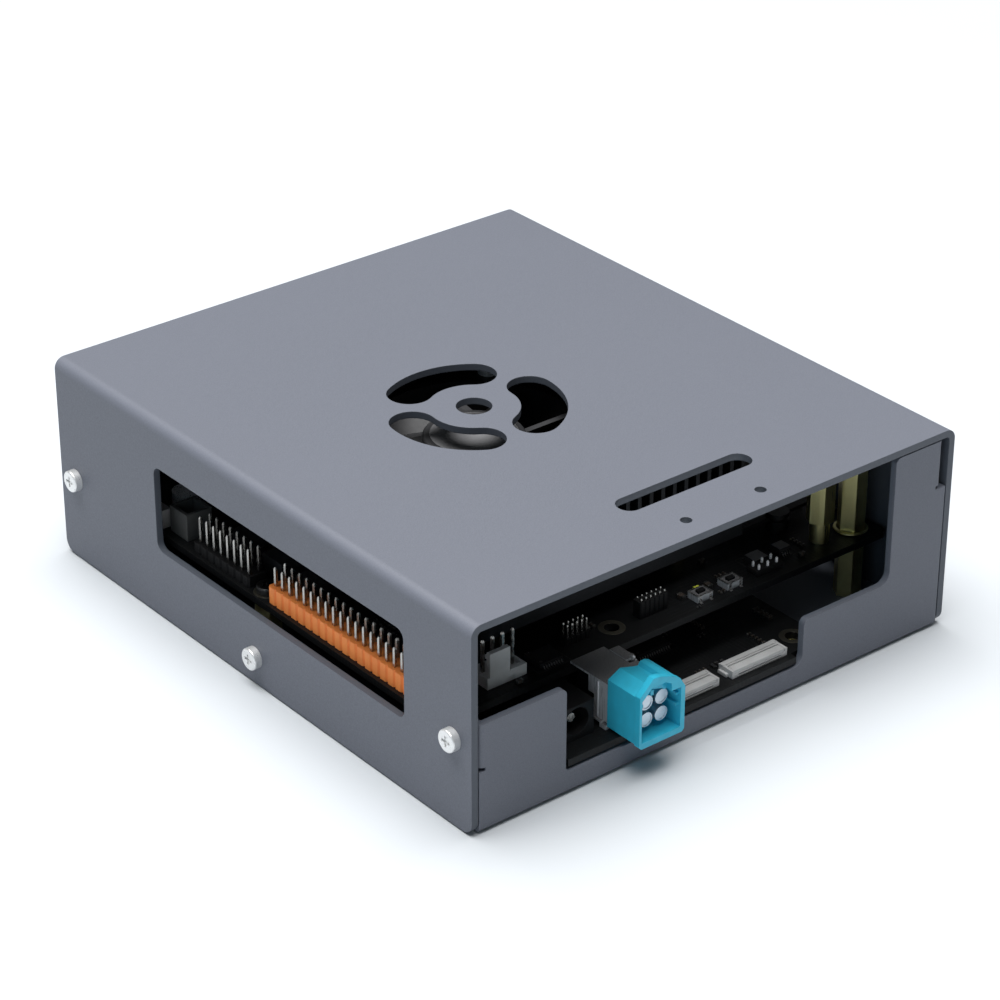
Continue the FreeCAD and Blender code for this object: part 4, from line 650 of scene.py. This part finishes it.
def add_led_and_caps():
    """The front lamp, a yellow strip at the right, two grey-topped chips, and fittings of cans and chokes."""
    board = top_of("main_board")
    front, rear = 21.2, 22.1
    lens = Shape()
    lens.block((77.0, front, board + 0.25), (78.3, rear, board + 0.85), 0.12)
    lens.block((119.0, 33.6, board + 0.1), (119.6, 36.6, board + 0.9), 0.1)
    lens.piece("front_led_lens", "led_glass")
    feet = Shape()
    for left, right in ((76.8, 77.15), (78.15, 78.5)):
        feet.block((left, front - 0.1, board), (right, rear + 0.1, board + 0.5), 0.04)
    feet.piece("front_led_feet", "solder")

    plates = Shape()
    for low, high in SOLIDS["board_chips"]:
        if low.x > 90 and high.y < 30:
            inset = 0.1
            plates.block((low.x + inset, low.y + inset, high.z),
                         (high.x - inset, high.y - inset, high.z + 0.14), 0.06)
    plates.piece("grey_part_tops", "grey_cap")

    bases, rims = Shape(), Shape()
    for low, high in SOLIDS["board_cans"]:
        spot, margin = middle((low, high)), 0.15
        outer, inner = 0.93 * (high.x - low.x) / 2, 0.86 * (high.x - low.x) / 2
        bases.frame((low.x - margin, low.y - margin, low.z),
                    (high.x + margin, high.y + margin, low.z + 0.7), 0.5)
        rims.turned((spot.x, spot.y, high.z), [(outer, 0.0), (outer, 0.03), (inner, 0.05), (inner, 0.0)],
                    loop=True)
    bases.piece("can_bases", "black_nylon")
    rims.piece("can_rims", "can_aluminium")

    terminals = Shape()
    terminal = [(0.05, 1.5), (0.08, 0.3), (0.12, 0.06), (0.6, 0.06)]
    for low, high in SOLIDS["board_chokes"]:
        for y, out in ((low.y, -1), (high.y, 1)):
            terminals.strip((middle((low, high)).x, y, board), (0, out), terminal, 3.2, 0.14)
    terminals.piece("choke_terminals", "solder")


def add_card_details():
    """The drive card's three chips and the gold fingers near its rear end."""
    low, high = SOLIDS["drive_card"][0]
    side_gap, chip_high = 4.5, 1.1
    finger_gap, finger_pitch, half_finger = 2.0, 0.75, 0.2
    chips, fingers = Shape(), Shape()
    for front, deep in ((44.0, 8.0), (62.0, 14.0), (84.0, 14.0)):
        chips.block((low.x + side_gap, front, high.z),
                    (high.x - side_gap, front + deep, high.z + chip_high), 0.1)
    for x in span(low.x + finger_gap, high.x - finger_gap, finger_pitch):
        fingers.block((x - half_finger, high.y - 3.2, high.z),
                      (x + half_finger, high.y - 2.55, high.z + 0.03), 0.01)
    chips.piece("drive_card_chips", "chip_resin")
    fingers.piece("drive_card_fingers", "gold")


# ---------------------------------------------------------------- fan, heatsink and rear

def add_fan_details():
    """The plain disc on the fan's hub, dished round its middle."""
    hub = SOLIDS["fan_rotor"][0]
    profile = [(9.6, 0.0), (9.6, 0.06), (9.4, 0.1), (1.2, 0.1), (0.9, 0.02), (0.6, 0.02)]
    label = Shape()
    label.turned((middle(hub).x, middle(hub).y, hub[1].z), profile, sides=64)
    label.piece("fan_hub_label", "grey_label", "fan_rotor")


def add_rear_details():
    """Contact fingers on the sockets' tongues, spring tabs in the USB shells and the jacks' light pipes."""
    finger_gap, finger_pitch, half_finger = 0.8, 1.25, 0.28
    spring_level, half_spring, pipe_inset, half_pipe = 3.9, 0.9, 2.2, 1.2
    gold, springs, pipes = Shape(), Shape(), Shape()
    for low, high in SOLIDS["socket_tongues"]:
        for x in span(low.x + finger_gap, high.x - finger_gap, finger_pitch):
            gold.block((x - half_finger, low.y + 0.6, high.z - 0.005),
                       (x + half_finger, high.y - 0.5, high.z + 0.05), 0.02)
    for low, high in SOLIDS["usb_stacks"]:
        for left, right in ((low.x + 0.72, low.x + 0.84), (high.x - 0.84, high.x - 0.72)):
            for z in (low.z + spring_level, high.z - spring_level):
                springs.block((left, high.y - 6.0, z - half_spring),
                              (right, high.y - 0.6, z + half_spring), 0.03)
    for low, high in SOLIDS["network_jacks"]:
        for x in (low.x + pipe_inset, high.x - pipe_inset):
            pipes.block((x - half_pipe, high.y - 0.4, high.z - 2.1),
                        (x + half_pipe, high.y + 0.12, high.z - 0.9), 0.1)
    gold.piece("socket_contacts", "gold")
    springs.piece("socket_springs", "shell_steel")
    pipes.piece("network_light_pipes", "led_glass")


add_chip_marks()
add_switch_frames()
add_pin_header()
add_led_and_caps()
add_pads()
add_small_parts()
add_solder_joints()
add_front_board_details()
add_card_details()
add_fan_details()
add_rear_details()


# ---------------------------------------------------------------- floor, light and camera

def floor_material():
    n = Nodes("pale_floor")
    tone = n.blend(n.spread(n.noise(60 * MM), 0.0, 1.0), (0.562, 0.588, 0.612), (0.57, 0.596, 0.62))
    return n.finish(tone, 0.95, specular=0.1)


FLOOR_HALF = 6.0
FLOOR_LEVEL = -0.4 * MM
floor_corners = [(-FLOOR_HALF, -FLOOR_HALF, 0), (FLOOR_HALF, -FLOOR_HALF, 0), (FLOOR_HALF, FLOOR_HALF, 0),
                 (-FLOOR_HALF, FLOOR_HALF, 0)]
floor_mesh = bpy.data.meshes.new("floor")
floor_mesh.from_pydata(floor_corners, [], [(0, 1, 2, 3)])
floor_mesh.materials.append(floor_material())
floor = bpy.data.objects.new("floor", floor_mesh)
floor.location.z = FLOOR_LEVEL
bpy.context.collection.objects.link(floor)


def area_light(name, place, target, size, power, colour=(1, 1, 1)):
    data = bpy.data.lights.new(name, "AREA")
    data.color = colour
    data.shape = "SQUARE"
    data.size = size
    data.energy = power
    light = bpy.data.objects.new(name, data)
    light.location = place
    light.rotation_euler = (Vector(target) - Vector(place)).to_track_quat("-Z", "Y").to_euler()
    bpy.context.collection.objects.link(light)


area_light("overhead_softbox", (-0.1, 0.15, 1.6), (0, 0, 0), 1.6, 60.5)
area_light("front_left_softbox", (-1.3, -0.7, 0.45), (0, 0, 0.02), 1.0, 2.0, (0.6, 0.82, 1.0))

world = bpy.data.worlds.new("studio")
world.use_nodes = True
world.node_tree.nodes["Background"].inputs["Color"].default_value = (0.96, 0.98, 1.0, 1.0)
world.node_tree.nodes["Background"].inputs["Strength"].default_value = 0.12
bpy.context.scene.world = world
bpy.context.scene.view_settings.view_transform = "Standard"

camera_data = bpy.data.cameras.new("camera")
camera_data.lens = 118.74
camera_data.sensor_width = 36
camera_data.clip_start = 0.01
camera = bpy.data.objects.new("camera", camera_data)
camera.location = (-0.39528, -0.48888, 0.36889)
camera.rotation_euler = (math.radians(61.0539), math.radians(-0.0866), math.radians(-38.9901))
bpy.context.collection.objects.link(camera)
bpy.context.scene.camera = camera
